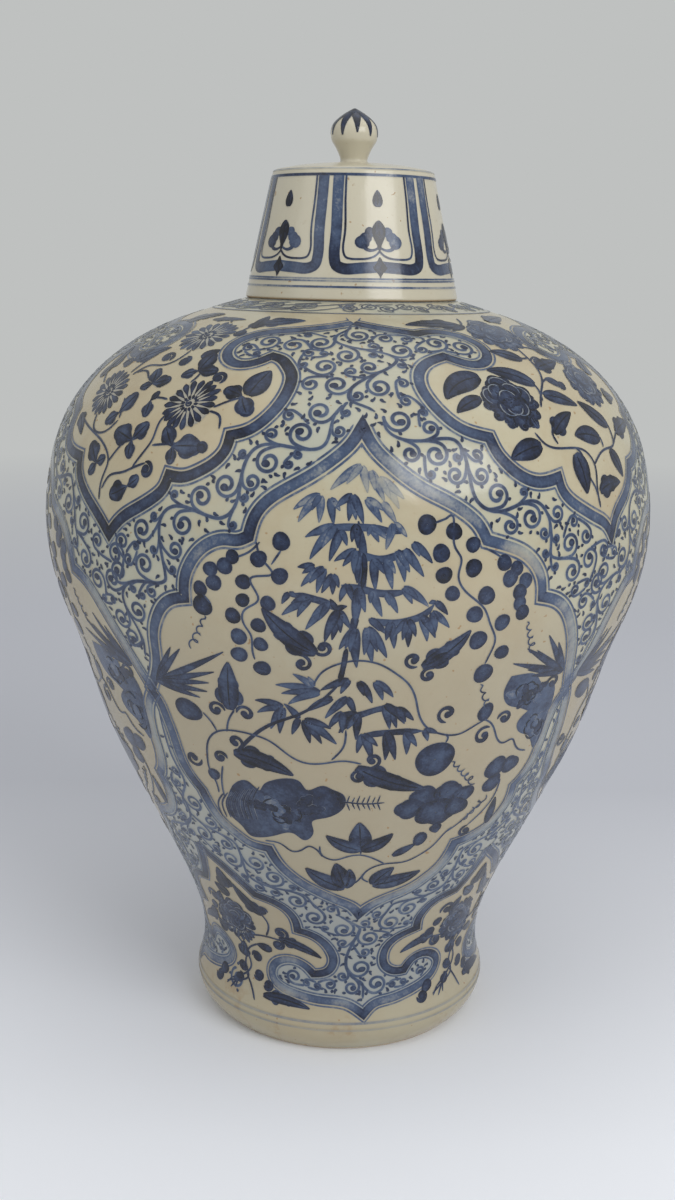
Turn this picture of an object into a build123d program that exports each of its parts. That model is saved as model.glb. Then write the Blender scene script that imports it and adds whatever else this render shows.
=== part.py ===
from build123d import *
import math
import os

# A lidded meiping: a broad-shouldered porcelain jar with a small mouth, and the conical lid that
# covers it. Millimetres, +Z up. The origin is the middle of the foot, on the surface it stands on.
# A jar this tall is thrown in sections that are trimmed, stacked and luted with slip, so each
# section is its own solid, and so are the three clay pieces of the lid.

# The jar's outside, from the foot up
foot_radius = 69.5
foot_bevel_radius = 74.4
foot_bevel_height = 5.6
foot_flare_radius = 77.3
foot_flare_height = 14.0
waist_radius = 73.6
waist_height = 37.0
belly_radius = 151.0
belly_height = 262.0
seat_radius = 50.5
seat_height = 371.0

# The flank from waist to belly, as shares of that rise and of that widening
flank_shares = ((0.12, 0.066), (0.28, 0.27), (0.44, 0.492), (0.6, 0.682), (0.725, 0.79), (0.86, 0.932))
# The shoulder from belly to lid seat, as shares of that rise and of that narrowing
shoulder_shares = ((0.25, 0.024), (0.45, 0.09), (0.63, 0.218), (0.775, 0.396), (0.89, 0.628), (0.948, 0.806))
# The foot's hollow curve between flare and waist, as shares of the height and of the narrowing
foot_hollow_shares = (0.5, 0.62)

# The joints between the thrown sections, as shares of the height from foot to seat
joint_shares = (0.27, 0.54, 0.81)

# Walls
flank_wall = 9.0
shoulder_wall = 7.0
floor_wall = 14.0
floor_corner = 14.0
# How many stretches the inside is worked out on
inside_steps = 26

# The turned foot ring
foot_ring_width = 12.5
foot_recess_depth = 7.0

# The short neck with its rolled lip, which the lid hides
neck_height = 21.0
neck_root_radius = 32.0
neck_waist_radius = 25.5
neck_waist_height = 9.5
mouth_radius = 18.5
mouth_flare = 1.5
lip_radius = 31.5
lip_roll_radius = 3.4
lip_undercut_angle = 60.0

# The lid's cap
lid_rim_radius = 52.5
lid_top_radius = 39.6
lid_side_height = 60.0
lid_dome_rise = 3.8
lid_edge_round = 3.6
lid_wall = 5.0
lid_top_wall = 6.0
lid_rim_round = 1.2
# The dome's middle, as shares of the way from edge to knob and of its rise
dome_shares = (0.5, 0.68)

# The tube inside the lid that keeps it centred in the mouth
sleeve_clearance = 1.3
sleeve_wall = 3.6
sleeve_reach = 12.0
sleeve_end_round = 1.0

# The lotus-bud knob
knob_stem_radius = 6.6
knob_height = 25.2
bud_radius = 11.3
bud_height = 13.8
# The stem's curve below the bud, as shares of the bud's height and of its radius
stem_shares = ((0.3, 0.69), (0.62, 0.875))
# The bud's shoulder and point above it, as shares of what is left of the height, and of the radius
point_shares = ((0.3, 0.93), (0.58, 0.69), (0.8, 0.38))
tip_slope_share = 0.7


def at(radius, height):
    """A place on the half section: X is the radius and Z the height."""
    return Vector(radius, 0, height)


def between(low, high, share):
    return low + (high - low) * share


def turned(section):
    """The solid that a half section sweeps round the axis."""
    return revolve(section, Axis.Z)


def jar_outline():
    """The jar's outside from the foot's resting edge to the lid seat, as one smooth edge."""
    hollow_up, hollow_in = foot_hollow_shares
    hollow = at(
        between(foot_flare_radius, waist_radius, hollow_in),
        between(foot_flare_height, waist_height, hollow_up),
    )
    flank = [
        at(between(waist_radius, belly_radius, out), between(waist_height, belly_height, up))
        for up, out in flank_shares
    ]
    shoulder = [
        at(between(belly_radius, seat_radius, back), between(belly_height, seat_height, up))
        for up, back in shoulder_shares
    ]
    return Spline(
        at(foot_radius, 0),
        at(foot_bevel_radius, foot_bevel_height),
        at(foot_flare_radius, foot_flare_height),
        hollow,
        at(waist_radius, waist_height),
        *flank,
        at(belly_radius, belly_height),
        *shoulder,
        at(seat_radius, seat_height),
    )


def inside_points(outline, low):
    """Points one wall inside the outline, above a height, the wall thinning towards the top."""
    points = []
    for step in range(1, inside_steps):
        share = step / inside_steps
        along = outline % share
        inward = at(-along.Z, along.X).normalized()
        inside = outline @ share + inward * between(flank_wall, shoulder_wall, share)
        if inside.Z > low:
            points.append(inside)
    return points


def jar_section():
    """The half section of the whole jar below its neck."""
    outline = jar_outline()
    throat_radius = mouth_radius + mouth_flare
    floor_height = foot_recess_depth + floor_wall
    ring_inside = foot_radius - foot_ring_width
    ceiling = seat_height - shoulder_wall
    points = inside_points(outline, floor_height + floor_corner)
    floor_edge = at(points[0].X - floor_corner, floor_height)
    cavity = Spline(*points, at(throat_radius, ceiling))
    corner = Spline(floor_edge, points[0], tangents=(at(1, 0), cavity % 0))
    top = Polyline(
        at(seat_radius, seat_height),
        at(throat_radius, seat_height),
        at(throat_radius, ceiling),
    )
    under = Polyline(
        floor_edge,
        at(0, floor_height),
        at(0, foot_recess_depth),
        at(ring_inside, foot_recess_depth),
        at(ring_inside, 0),
        at(foot_radius, 0),
    )
    return make_face([outline, top, cavity, corner, under])


def jar_piece(section, low, high):
    """One thrown section: the part of the jar between two joint heights."""
    reach = belly_radius + flank_wall
    band = make_face(
        Polyline(at(0, low), at(reach, low), at(reach, high), at(0, high), close=True)
    )
    return turned(section & band)


def neck_piece():
    """The separately thrown neck: hollow outside, rolled lip, straight bore."""
    throat_radius = mouth_radius + mouth_flare
    roll = at(lip_radius - lip_roll_radius, seat_height + neck_height - lip_roll_radius)
    down = math.radians(lip_undercut_angle)
    outward = at(math.cos(down), -math.sin(down))
    outside = Spline(
        at(neck_root_radius, seat_height),
        at(neck_waist_radius, seat_height + neck_waist_height),
        roll + outward * lip_roll_radius,
        tangents=(at(-1, 1), at(math.sin(down), math.cos(down))),
    )
    lip = ThreePointArc(
        roll + outward * lip_roll_radius,
        roll + at(1, 0) * lip_roll_radius,
        roll + at(0, 1) * lip_roll_radius,
    )
    inside = Polyline(
        roll + at(0, 1) * lip_roll_radius,
        at(throat_radius, seat_height + neck_height),
        at(mouth_radius, seat_height + neck_height - mouth_flare),
        at(mouth_radius, seat_height + mouth_flare),
        at(throat_radius, seat_height),
        at(neck_root_radius, seat_height),
    )
    return turned(make_face([outside, lip, inside]))


def lid_cap():
    """The conical shell with its slightly domed top and the flat pad under the knob."""
    top = seat_height + lid_side_height
    ceiling = top - lid_top_wall
    inner_top_radius = lid_top_radius - lid_wall
    side = Polyline(
        at(knob_stem_radius, top + lid_dome_rise),
        at(0, top + lid_dome_rise),
        at(0, ceiling),
        at(inner_top_radius, ceiling),
        at(lid_rim_radius - lid_wall, seat_height),
        at(lid_rim_radius, seat_height),
        at(lid_top_radius, top),
    )
    dome_in, dome_up = dome_shares
    dome = ThreePointArc(
        at(lid_top_radius, top),
        at(between(lid_top_radius, knob_stem_radius, dome_in), top + between(0, lid_dome_rise, dome_up)),
        at(knob_stem_radius, top + lid_dome_rise),
    )
    section = make_face([side, dome])
    for corner, size in (
        (at(lid_top_radius, top), lid_edge_round),
        (at(inner_top_radius, ceiling), lid_edge_round),
        (at(lid_rim_radius, seat_height), lid_rim_round),
        (at(lid_rim_radius - lid_wall, seat_height), lid_rim_round),
    ):
        section = fillet(section.vertices().sort_by_distance(corner)[0], size)
    return turned(section)


def lid_sleeve():
    """The locating tube, luted under the lid's top and reaching into the mouth."""
    outer = mouth_radius - sleeve_clearance
    low = seat_height + neck_height - sleeve_reach
    high = seat_height + lid_side_height - lid_top_wall
    bore = outer - sleeve_wall
    section = make_face(
        Polyline(at(outer, low), at(outer, high), at(bore, high), at(bore, low), close=True)
    )
    ends = section.vertices().sort_by(Axis.Z)[:2]
    return turned(fillet(ends, sleeve_end_round))


def lid_knob():
    """The lotus bud on its hollowed stem."""
    foot = seat_height + lid_side_height + lid_dome_rise
    above = knob_height - bud_height
    stem = Spline(
        at(knob_stem_radius, foot),
        *[at(bud_radius * out, foot + bud_height * up) for up, out in stem_shares],
        at(bud_radius, foot + bud_height),
        tangents=(at(0, 1), at(0, 1)),
    )
    bud = Spline(
        at(bud_radius, foot + bud_height),
        *[at(bud_radius * out, foot + bud_height + above * up) for up, out in point_shares],
        at(0, foot + knob_height),
        tangents=(at(0, 1), at(-1, tip_slope_share)),
    )
    axis = Polyline(at(0, foot + knob_height), at(0, foot), at(knob_stem_radius, foot))
    return turned(make_face([stem, bud, axis]))


def main():
    section = jar_section()
    foot_joint, flank_joint, belly_joint = [seat_height * share for share in joint_shares]
    pieces = {
        "foot_section": jar_piece(section, 0, foot_joint),
        "flank_section": jar_piece(section, foot_joint, flank_joint),
        "belly_section": jar_piece(section, flank_joint, belly_joint),
        "shoulder_section": jar_piece(section, belly_joint, seat_height),
        "neck": neck_piece(),
        "lid_cap": lid_cap(),
        "lid_sleeve": lid_sleeve(),
        "lid_knob": lid_knob(),
    }
    os.makedirs("parts", exist_ok=True)
    for name, piece in pieces.items():
        export_step(piece, f"parts/{name}.step")
        print(name, round(piece.volume), "mm3")


main()
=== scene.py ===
import bpy
import math
import random
import numpy as np
from mathutils import Matrix, Vector


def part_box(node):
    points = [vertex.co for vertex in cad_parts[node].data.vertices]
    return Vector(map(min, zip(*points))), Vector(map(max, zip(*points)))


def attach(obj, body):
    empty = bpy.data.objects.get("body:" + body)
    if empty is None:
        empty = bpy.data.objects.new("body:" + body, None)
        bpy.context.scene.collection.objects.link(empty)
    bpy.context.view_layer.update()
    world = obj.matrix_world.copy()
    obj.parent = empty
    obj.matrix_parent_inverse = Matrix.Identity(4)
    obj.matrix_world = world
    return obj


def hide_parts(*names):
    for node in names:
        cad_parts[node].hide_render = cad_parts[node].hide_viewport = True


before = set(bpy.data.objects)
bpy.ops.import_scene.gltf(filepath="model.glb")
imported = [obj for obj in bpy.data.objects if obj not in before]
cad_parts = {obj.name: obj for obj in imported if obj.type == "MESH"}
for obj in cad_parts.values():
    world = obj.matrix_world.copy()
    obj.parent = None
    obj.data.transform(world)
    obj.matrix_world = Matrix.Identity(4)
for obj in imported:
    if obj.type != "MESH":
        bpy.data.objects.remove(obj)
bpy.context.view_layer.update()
mm = 0.001
tiny = 1e-9  # keeps a division off zero
print("frame loaded:", ", ".join(sorted(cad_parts)))


# Lines in two dimensions, lengths in millimetres


def travelled(line):  # the length of a line up to each of its points
    return np.concatenate([[0], np.cumsum(np.hypot(*np.diff(line, axis=0).T))])


def unit(ways):
    return ways / np.maximum(np.hypot(*ways.T), tiny)[:, None]


def rightOf(ways):
    return np.stack([ways[:, 1], -ways[:, 0]], 1)


def resample(line, step):
    arc = travelled(line)
    count = max(3, int(round(arc[-1] / step)) + 1)
    even = np.linspace(0, arc[-1], count)
    return np.stack([np.interp(even, arc, line[:, 0]), np.interp(even, arc, line[:, 1])], 1)


# A natural cubic through the points, then even steps along it
def smoothLine(points, step):
    p = np.array(points, float)
    if len(p) == 2:
        return resample(p, step)
    chord = travelled(p)
    n = len(p)
    gap = np.diff(chord)
    matrix = np.zeros((n, n))
    right = np.zeros((n, 2))
    matrix[0, 0] = matrix[-1, -1] = 1
    for i in range(1, n - 1):
        matrix[i, i - 1:i + 2] = gap[i - 1], 2 * (gap[i - 1] + gap[i]), gap[i]
        right[i] = 6 * ((p[i + 1] - p[i]) / gap[i] - (p[i] - p[i - 1]) / gap[i - 1])
    bend = np.linalg.solve(matrix, right)
    t = np.linspace(0, chord[-1], max(12, int(chord[-1] / step * 3)))
    i = np.clip(np.searchsorted(chord, t) - 1, 0, n - 2)
    g = gap[i][:, None]
    a = (chord[i + 1][:, None] - t[:, None]) / g
    b = 1 - a
    line = a * p[i] + b * p[i + 1] + ((a**3 - a) * bend[i] + (b**3 - b) * bend[i + 1]) * g**2 / 6
    return resample(line, step)


# Corners of a section, each rounded with its own radius, as one dense line
def roundedLine(corners, radii):
    p = np.array(corners, float)
    line = [p[0]]
    for i in range(1, len(p) - 1):
        back = (p[i - 1] - p[i]) / np.linalg.norm(p[i - 1] - p[i])
        ahead = (p[i + 1] - p[i]) / np.linalg.norm(p[i + 1] - p[i])
        if radii[i] == 0:
            line.append(p[i])
            continue
        half = math.acos(float(np.clip(back @ ahead, -1, 1))) / 2
        reach = radii[i] / math.tan(half)
        middle = p[i] + (back + ahead) / np.linalg.norm(back + ahead) * radii[i] / math.sin(half)
        start, end = p[i] + back * reach - middle, p[i] + ahead * reach - middle
        a0, a1 = math.atan2(start[1], start[0]), math.atan2(end[1], end[0])
        sweep = (a1 - a0 + math.pi) % (2 * math.pi) - math.pi
        for part in np.linspace(0, 1, 9):
            angle = a0 + sweep * part
            line.append(middle + radii[i] * np.array([math.cos(angle), math.sin(angle)]))
    line.append(p[-1])
    return np.array(line)


def longSteps(line, step):  # adds points on the long straight stretches only
    out = [line[0]]
    for a, b in zip(line[:-1], line[1:]):
        count = max(1, int(np.linalg.norm(b - a) / step))
        out += [a + (b - a) * k / count for k in range(1, count + 1)]
    return np.array(out)


# A stretch of a turned section. Travelled with the clay on its left, so the normal is on its right.
def asRun(line):
    normal = rightOf(unit(np.gradient(line, axis=0)))
    return {"arc": travelled(line), "r": line[:, 0], "z": line[:, 1], "nr": normal[:, 0], "nz": normal[:, 1]}


sheetRadius = 100.0  # painting is laid out on a flat sheet that is true to shape where the radius is this
leastRadius = 0.6  # the sheet is no wider than here any nearer the axis
rowClear = 0.4  # rows nearer than this to a joint are left out


def asSurface(run):
    scale = sheetRadius / np.maximum(run["r"], leastRadius)
    middle = (scale[1:] + scale[:-1]) / 2
    run["v"] = np.concatenate([[0], np.cumsum(np.diff(run["arc"]) * middle)])
    return run


def cutRun(run, low, high):  # the part of a run between two heights
    z = run["z"]
    keep = (z > low + rowClear) & (z < high - rowClear)
    pick = {}
    for key in ("arc", "r", "z", "nr", "nz"):
        ends = [np.interp(end, z, run[key]) for end in (low, high)]
        pick[key] = np.concatenate([[ends[0]], run[key][keep], [ends[1]]])
    return pick


# The clay

jar = {
    "foot": ((69.5, 0), (74.4, 5.6), (77.3, 14.0)),
    "waist": (73.6, 37.0),
    "belly": (151.0, 262.0),
    "seat": (50.5, 371.0),
    "hollow": (0.5, 0.62),  # up and in, as shares of flare to waist
    "flank": ((0.12, 0.066), (0.28, 0.27), (0.44, 0.492), (0.6, 0.682), (0.725, 0.79), (0.86, 0.932)),
    "shoulder": ((0.25, 0.024), (0.45, 0.09), (0.63, 0.218), (0.775, 0.396), (0.89, 0.628), (0.948, 0.806)),
    "wallLow": 9.0,
    "wallHigh": 7.0,
    "floor": 21.0,
    "floorCorner": 14.0,
    "floorBend": ((0, 0), (1.6, 7), (6.2, 12.2)),  # in and down, from the wall into that corner
    "footRing": 12.5,
    "footRecess": 7.0,
    "bareTo": 0.4,  # the foot ring stands on bare clay, and the glaze is thin up to wornTo
    "wornTo": 1.6,
    "worn": 0.35,
    "throat": 20.0,
    "rowStep": 1.5,
}


def share(low, high, part):
    return low + (high - low) * part


def between(low, high, parts):  # places between two others, as shares of the way up and across
    return [(share(low[0], high[0], across), share(low[1], high[1], up)) for up, across in parts]


def jarOutline():
    flare, waist, belly, seat = jar["foot"][-1], jar["waist"], jar["belly"], jar["seat"]
    hollow = between(flare, waist, [jar["hollow"]])
    flank = between(waist, belly, jar["flank"])
    shoulder = between(belly, seat, jar["shoulder"])
    return smoothLine([*jar["foot"], *hollow, waist, *flank, belly, *shoulder, seat], jar["rowStep"] / 3)


jarSkin = asSurface(asRun(jarOutline()))
jarSkinLength = jarSkin["arc"][-1]


def jarInside():
    thick = np.interp(jarSkin["arc"] / jarSkinLength, [0, 1], [jar["wallLow"], jar["wallHigh"]])
    r = jarSkin["r"] - jarSkin["nr"] * thick
    z = jarSkin["z"] - jarSkin["nz"] * thick
    low = jar["floor"] + jar["floorCorner"]
    high = jar["seat"][1] - jar["wallHigh"]
    keep = (z > low) & (z < high - 0.5) & (r > jar["throat"] + 1)
    line = np.stack([r[keep], z[keep]], 1)[::8]
    return np.vstack([line, [[jar["throat"], high]]])


onAxis = 1e-6  # a ring smaller than this is one point


def addObject(name, data):
    item = bpy.data.objects.new(name, data)
    bpy.context.scene.collection.objects.link(item)
    return item


def addMark(mesh, mark, values):
    mesh.attributes.new(mark, "FLOAT", "POINT").data.foreach_set("value", np.asarray(values, float))


def ringPlaces(radius, height, turn):
    return np.stack([radius * np.sin(turn), -radius * np.cos(turn), np.full(len(turn), height)], 1)


# Rings of a section turned round the axis. Every corner keeps the normal of its own stretch.
def turnedMesh(name, runs, marks, segments=360):
    r, z, rows = [], [], []
    for number, run in enumerate(runs):
        skip = 1 if number else 0
        first = len(r) - skip
        r += list(run["r"][skip:])
        z += list(run["z"][skip:])
        for k in range(len(run["r"]) - 1):
            normals = [(run["nr"][k + e], run["nz"][k + e]) for e in (0, 1)]
            rows.append([first + k, first + k + 1, *normals])
    if r[0] > onAxis:  # a ring-shaped section closes on its own start
        last = len(r) - 1
        r.pop()
        z.pop()
        for row in rows:
            row[0], row[1] = row[0] % last, row[1] % last
    starts, places = [], []
    turn = np.arange(segments) * 2 * math.pi / segments
    total = 0
    for ring, height in zip(r, z):
        starts.append(total)
        places.append(ringPlaces(ring, height, turn) if ring > onAxis else [[0, 0, height]])
        total += len(places[-1])
    here = np.arange(segments)
    beyond = (here + 1) % segments
    lengths = np.concatenate([[0], np.cumsum(np.hypot(np.diff(r), np.diff(z)))])
    faces, normals, uvs = [], [], []
    arcTotal = lengths[-1] + onAxis
    for low, high, lowNormal, highNormal in rows:
        a, b = starts[low], starts[high]
        u0, u1 = here / segments, (here + 1) / segments
        va = np.full(segments, lengths[low] / arcTotal)
        vb = np.full(segments, min(1, lengths[high] / arcTotal) if high else 1.0)
        corners = []
        if r[low] > onAxis:
            corners += [(a + here, lowNormal, here, u0, va), (a + beyond, lowNormal, beyond, u1, va)]
        else:
            corners += [(np.full(segments, a), lowNormal, here, u0, va)]
        if r[high] > onAxis:
            corners += [(b + beyond, highNormal, beyond, u1, vb), (b + here, highNormal, here, u0, vb)]
        else:
            corners += [(np.full(segments, b), highNormal, here, u0, vb)]
        faces.append(np.stack([c[0] for c in corners], 1).tolist())
        normals.append(np.stack([ringPlaces(*c[1], turn[c[2]]) for c in corners], 1).reshape(-1, 3))
        uvs.append(np.stack([np.stack([c[3], c[4]], 1) for c in corners], 1).reshape(-1, 2))
    mesh = bpy.data.meshes.new(name)
    points = np.vstack([np.array(p, float) for p in places]) * mm
    mesh.from_pydata(points.tolist(), [], [f for row in faces for f in row])
    mesh.polygons.foreach_set("use_smooth", [True] * len(mesh.polygons))
    bake = mesh.uv_layers.new(name="OFBake")
    bake.data.foreach_set("uv", np.vstack(uvs).ravel())
    mesh.normals_split_custom_set(np.vstack(normals).tolist())
    radius = np.hypot(points[:, 0], points[:, 1]) / mm
    angle = np.arctan2(points[:, 0], -points[:, 1])
    height = points[:, 2] / mm
    for mark, rule in marks.items():
        addMark(mesh, mark, rule(angle, radius, height))
    return addObject(name, mesh)


# Where the painting lies on the jar. Each outline below is in millimetres: along the surface to the viewer's
# right, from the meridian named with it, and up the surface, from the foot's edge.


def toSheet(skin, points, turn=0.0):
    p = np.array(points, float).reshape(-1, 2)
    r = np.interp(p[:, 1], skin["arc"], skin["r"])
    u = sheetRadius * (p[:, 0] / r + math.radians(turn))
    return np.stack([u, np.interp(p[:, 1], skin["arc"], skin["v"])], 1)


def perMm(skin, v):  # sheet lengths per real millimetre
    return sheetRadius / np.maximum(np.interp(v, skin["v"], skin["r"]), leastRadius)


def sheetLevel(skin, height):  # a height up the surface, on the sheet
    return float(toSheet(skin, [(0, height)])[0, 1])


quarter = sheetRadius * math.pi / 2

mainPanel = (  # one stretch between each two cusps, round from the top
    ((5.5, 344), (1, 336), (-5, 330), (-15, 322.5), (-25, 316.5), (-33, 311), (-38, 305), (-41, 296)),
    ((-41, 296), (-46, 294), (-51, 294), (-58, 292), (-64, 287.5), (-68, 282), (-70.5, 276), (-71, 267)),
    ((-71, 267), (-78, 265), (-83, 261), (-86.5, 255), (-88.5, 249), (-89, 240)),
    ((-89, 240), (-89, 233), (-90, 227), (-92, 221), (-95, 214)),
    ((-95, 214), (-90, 208), (-87, 201), (-84, 193), (-82, 186), (-79.5, 178), (-76, 171), (-69, 162)),
    ((-69, 162), (-65, 153), (-60, 145), (-55, 140), (-50, 136), (-45, 132.5), (-34.5, 130.5)),
    ((-34.5, 130.5), (-30, 121), (-25, 114.5), (-18, 108), (-10, 102.5), (-2, 97.5), (5, 93), (9, 87)),
    ((9, 87), (15, 93.5), (25, 99.5), (35, 104.5), (42, 110), (48, 116), (52, 122), (56, 132)),
    ((56, 132), (65, 134), (73, 137.5), (79, 142), (84, 148), (87, 154), (88.5, 163)),
    ((88.5, 163), (92, 166), (96, 171), (99, 176), (101.5, 183), (103, 189), (105, 196), (110, 206),
     (117, 213)),
    ((117, 213), (115.5, 223), (114.5, 231), (113, 240), (109, 252), (105, 259), (98, 265), (89, 268)),
    ((89, 268), (88, 276), (84, 283), (79, 287.5), (72, 291), (66, 293), (59.5, 295)),
    ((59.5, 295), (56, 301), (50, 306.5), (41, 312), (33, 316), (25, 321), (17, 327.5), (10, 335),
     (5.5, 344)),
)
leftCollar = (  # from the meridian 45 degrees to the left, arch to arch
    ((-61.1, 413), (-58, 409.5), (-53, 406), (-47, 403.5), (-41, 402)),
    ((-41, 402), (-37, 403.5), (-30, 404.5), (-23, 403.5), (-17, 400), (-14, 394), (-15, 387), (-20, 380),
     (-28, 376), (-36, 376), (-42, 380)),
    ((-42, 380), (-53, 377), (-60, 371), (-65, 363), (-66, 354), (-63, 346), (-52, 338.5)),
    ((-52, 338.5), (-51.5, 332), (-49, 326), (-42, 321.5), (-28, 319.5)),
    ((-28, 319.5), (-26, 313), (-20, 306.5), (-12, 301), (-3, 295), (4, 289)),
    ((4, 289), (12, 297), (21, 302.5), (29, 307.5), (34, 312.5), (35.5, 318)),
    ((35.5, 318), (43, 318), (50, 321), (56, 325.5), (59, 331), (58.5, 337.5)),
    ((58.5, 337.5), (65, 340), (70, 346), (72, 354), (71, 362), (67, 370), (62, 375), (56, 379.5),
     (50.5, 381.5)),
    ((50.5, 381.5), (46, 376.5), (39, 375), (32, 378), (27, 384), (26, 391), (30, 398), (36, 401.5),
     (44, 403.5)),
    ((44, 403.5), (50, 405.5), (57, 408.5), (63.1, 413)),
)
rightCollar = (  # from the meridian 45 degrees to the right
    ((-60.9, 413), (-55, 408.5), (-48, 405), (-41, 402)),
    ((-41, 402), (-36, 403.5), (-30, 404), (-24, 401.5), (-19, 396), (-17.5, 390), (-20, 383), (-25, 378.5),
     (-32, 377), (-37, 379), (-42, 383)),
    ((-42, 383), (-54, 378), (-61, 372), (-65, 365), (-66, 357), (-64, 349), (-59, 342.5), (-48, 338)),
    ((-48, 338), (-47, 331), (-44, 326), (-38, 320.5), (-30, 317.5), (-18, 318.5)),
    ((-18, 318.5), (-17, 313.5), (-13, 308.5), (-5, 303.5), (4, 299), (11, 295.5), (16.5, 289.5)),
    ((16.5, 289.5), (21, 298), (27, 302.5), (33, 306.5), (38, 311.5), (42, 318.5)),
    ((42, 318.5), (48, 319.5), (55, 323), (60, 329), (60.5, 340)),
    ((60.5, 340), (67, 344), (70.5, 350), (71.5, 357), (69, 365), (62, 373), (53, 378.5), (43, 382)),
    ((43, 382), (36, 377.5), (29, 377), (22, 381), (17.5, 387), (17, 393), (20, 399), (26, 403), (33, 404),
     (42, 402)),
    ((42, 402), (48, 403.5), (53, 406), (58, 409.5), (62.8, 413)),
)
footEdge = (  # from the middle meridian, peak to peak
    ((-78, 120), (-70, 114.5), (-62, 109.5), (-55, 104), (-48, 98), (-43.5, 93.5)),
    ((-43.5, 93.5), (-36, 92), (-30, 89.5), (-25, 85), (-22, 79), (-21, 73)),
    ((-21, 73), (-15, 71.5), (-9, 67.5), (-4.5, 61), (-3, 54), (-5.5, 48.5), (-13, 46)),
    ((-13, 46), (-17, 50), (-23, 52.5), (-30, 51), (-34.5, 46), (-34.5, 40), (-30, 36), (-23, 34), (-8, 32),
     (4, 30.5), (12.5, 25)),
    ((12.5, 25), (18, 30), (26, 31.5), (34, 33), (42, 35), (48, 37.5), (52.5, 41), (54, 45.5), (51, 50.5),
     (45, 53), (39, 52), (33.5, 46)),
    ((33.5, 46), (28, 46.5), (23, 50.5), (22, 57), (24, 63), (29, 68), (39.5, 72)),
    ((39.5, 72), (40, 78), (43, 84), (48, 89), (55, 92), (62, 93.5)),
    ((62, 93.5), (67, 99), (72, 106), (77, 113.5), (79.4, 120)),
)


def sheetPath(stretches, turn=0.0, step=0.9):  # the whole line on the sheet, its cusps kept sharp
    line = []
    for stretch in stretches:
        part = smoothLine(toSheet(jarSkin, stretch, turn), step)
        line += list(part if not line else part[1:])
    return np.array(line)


collarTurns = ((leftCollar, -45), (rightCollar, 45), (leftCollar, 135), (rightCollar, 225))
panelPaths = [sheetPath(mainPanel) + (quarter * k, 0) for k in range(4)]
upperPaths = [sheetPath(shape, turn) for shape, turn in collarTurns]
lowerPaths = [sheetPath(footEdge) + (quarter * k, 0) for k in range(4)]
roundSheet = 2 * math.pi * sheetRadius
ringHeights = (424.5, 441.3)  # up the surface, of the lines round the ring of scrolls below the lid
ringLow = sheetLevel(jarSkin, ringHeights[0])


def insideLoop(loop, u, v):
    hit = np.zeros(len(u), bool)
    lowU, lowV = loop.min(0)
    highU, highV = loop.max(0)
    near = np.nonzero((u >= lowU) & (u <= highU) & (v >= lowV) & (v <= highV))[0]
    pu, pv = u[near], v[near]
    within = np.zeros(len(near), bool)
    for (ua, va), (ub, vb) in zip(loop, np.roll(loop, -1, axis=0)):
        if va != vb:
            within ^= ((va > pv) != (vb > pv)) & (pu < (ub - ua) * (pv - va) / (vb - va) + ua)
    hit[near] = within
    return hit


def closedBeyond(paths, level):  # a line round the jar, closed past the painting's top or foot
    line = np.vstack(paths)
    return np.vstack([line, [line[-1][0], level], [line[0][0], level]])


collarLoop = closedBeyond(upperPaths, 900)
footLoop = closedBeyond(lowerPaths, -50)


# Scroll ground: outside every panel, and in the ring below the lid
def isGround(u, v):
    cream = np.zeros(len(u), bool)
    for shift in (-roundSheet, 0, roundSheet):
        for loop in panelPaths + [collarLoop, footLoop]:
            cream |= insideLoop(loop, u + shift, v)
    return (~cream) | (v > ringLow)


def groundMark(angle, radius, height):
    arc = np.interp(height, jarSkin["z"], jarSkin["arc"])
    skinRadius = np.interp(arc, jarSkin["arc"], jarSkin["r"])
    outside = np.abs(radius - skinRadius) < 0.5
    v = np.interp(arc, jarSkin["arc"], jarSkin["v"])
    marked = np.zeros(len(angle))
    where = np.nonzero(outside)[0]
    marked[where] = isGround(angle[where] * sheetRadius, v[where])
    return marked


def footBareMark(angle, radius, height):
    outer = jar["foot"][0][0]
    ring = (radius > outer - jar["footRing"] - 1) & (radius < outer + 1)
    return np.where(ring & (height < jar["bareTo"]), 1.0, np.where(height < jar["wornTo"], jar["worn"], 0.0))


print("painting laid out:", len(panelPaths), "main panels,", len(upperPaths), "collars")


# Finishes


def tint(*screen):  # red, green and blue as on a screen, to linear light
    return tuple(((c / 255 + 0.055) / 1.055) ** 2.4 if c > 10 else c / 255 / 12.92 for c in screen) + (1,)


finish = {
    "cream": tint(183, 171, 142),
    "creamWarm": tint(172, 156, 125),
    "creamCool": tint(184, 179, 155),
    # painted shade: the cream darker and warmer low on the jar
    "creamPaintedShade": tint(163, 152, 129),
    "creamLid": tint(196, 190, 170),
    "ground": tint(181, 177, 154),
    "groundCool": tint(175, 176, 161),
    # painted shade: the scroll ground darker and greyer low on the jar
    "groundPaintedShade": tint(156, 159, 156),
    "stain": tint(150, 114, 68),
    "bare": tint(186, 162, 128),
    "washPale": tint(120, 135, 148),
    "wash": tint(71, 87, 114),
    "cobalt": tint(33, 43, 68),
    "cobaltHeaped": tint(9, 12, 24),
    "roughness": 0.19,
}
grain = {  # how fine each pattern in the glaze and the paint is
    "cloud": 14.0, "patch": 43.0, "speck": 420.0, "blot": 62.0, "pin": 330.0, "blush": 95.0, "sheen": 90.0,
    "peel": 620.0, "wave": 55.0, "pool": 190.0, "drag": 900.0,
}
glazeHeights = {  # metres above the floor, where each change begins and ends
    # painted shade: low and ground darken the glaze towards the bottom, and foot eases it near the floor
    "low": (0.3, 0.19), "foot": (0.0, 0.04), "lid": (0.3702, 0.3712),
    "ground": (0.24, 0.09), "stains": (0.045, 0.006),
}


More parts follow.
